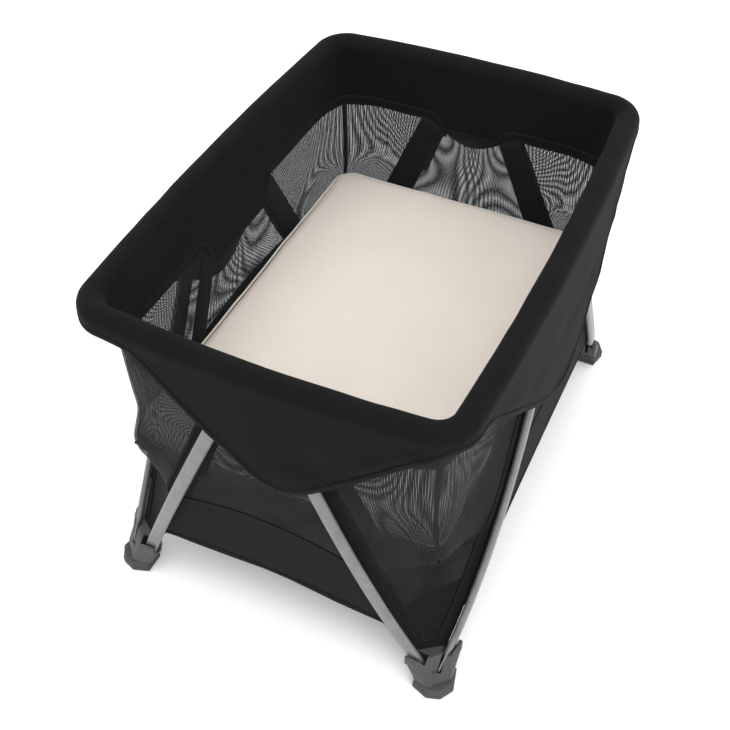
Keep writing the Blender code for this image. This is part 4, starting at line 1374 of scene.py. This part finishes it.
def make_pull_strap():
    """The webbing loop that folds the yard, sewn into the handle."""
    low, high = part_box("pull_strap")
    reach = (high.x - low.x) / 2 - 0.001
    rise = high.z - low.z - 0.001
    path, normals = [], []
    for k in range(25):
        angle = math.pi * k / 24
        facing = Vector((math.cos(angle), 0, math.sin(angle)))
        path.append(Vector((reach * facing.x, 0, low.z + rise * facing.z)))
        normals.append(facing)
    strap = add_ribbon("strap_loop", path, normals, 0.023, 0.0018, "webbing")
    attach(strap, "fold_handle", ["pull_strap"])


# ---------------------------------------------------------------- camera, floor and light

def make_camera():
    azimuth, elevation, roll = math.radians(-64.05), math.radians(46.73), math.radians(-0.69)
    back = Vector((math.sin(azimuth) * math.cos(elevation), -math.cos(azimuth) * math.cos(elevation),
                   math.sin(elevation)))
    right = Vector((math.cos(azimuth), math.sin(azimuth), 0))
    up = back.cross(right)
    turned = right * math.cos(roll) + up * math.sin(roll)
    upright = up * math.cos(roll) - right * math.sin(roll)
    data = bpy.data.cameras.new("camera")
    data.lens = 51.18
    data.sensor_width = 36
    camera = bpy.data.objects.new("camera", data)
    bpy.context.scene.collection.objects.link(camera)
    matrix = Matrix((turned, upright, back)).transposed().to_4x4()
    matrix.translation = Vector((-1.456, -0.664, 1.989))
    camera.matrix_world = matrix
    bpy.context.scene.camera = camera


def make_floor():
    mat, tree, shader = new_material("pale_floor", 0.9)
    tone = ramp(tree, solid_noise(tree, 0.9), ((0.3, (0.94, 0.94, 0.94)), (0.7, (0.96, 0.96, 0.96))))
    tree.links.new(tone, shader.inputs["Base Color"])
    shader.inputs["Specular IOR Level"].default_value = 0.1
    bm = bmesh.new()
    bmesh.ops.create_grid(bm, x_segments=4, y_segments=4, size=14)
    mesh = bpy.data.meshes.new("floor")
    bm.to_mesh(mesh)
    bm.free()
    floor = new_object("studio_floor", mesh, [mat])
    floor.location.z = -0.0005


def add_light(name, location, target, size, power):
    data = bpy.data.lights.new(name, "AREA")
    data.shape = "RECTANGLE"
    data.size, data.size_y = size
    data.energy = power
    light = bpy.data.objects.new(name, data)
    bpy.context.scene.collection.objects.link(light)
    light.location = location
    light.rotation_euler = (Vector(target) - Vector(location)).to_track_quat("-Z", "Y").to_euler()


def make_light():
    world = bpy.data.worlds.new("studio")
    bpy.context.scene.world = world
    world.use_nodes = True
    world.node_tree.nodes["Background"].inputs["Color"].default_value = (1, 1, 1, 1)
    world.node_tree.nodes["Background"].inputs["Strength"].default_value = 1.20
    add_light("key", (-0.35, 0.10, 3.4), (0, 0, 0.3), (3.0, 3.0), 70)
    add_light("fill", (-1.7, -2.6, 2.4), (0, 0, 0.4), (3.0, 2.0), 55)
    view = bpy.context.scene.view_settings
    view.view_transform = "Standard"
    bpy.context.scene.cycles.transparent_max_bounces = 24


make_camera()
make_floor()
make_light()
for side in SIDES:
    make_rim(side)
    make_wall(side)
for name in CORNERS:
    for which in ("side", "end"):
        make_corner_panel(name, which)
    make_leg("long_leg", LONG_LEG, name, CORNERS[name])
    make_leg("short_leg", SHORT_LEG, name, CORNERS[name])
make_bassinet()
make_board()
make_mattress()
make_yard_floor()
make_feet()
make_pull_strap()
finish_frame_parts()
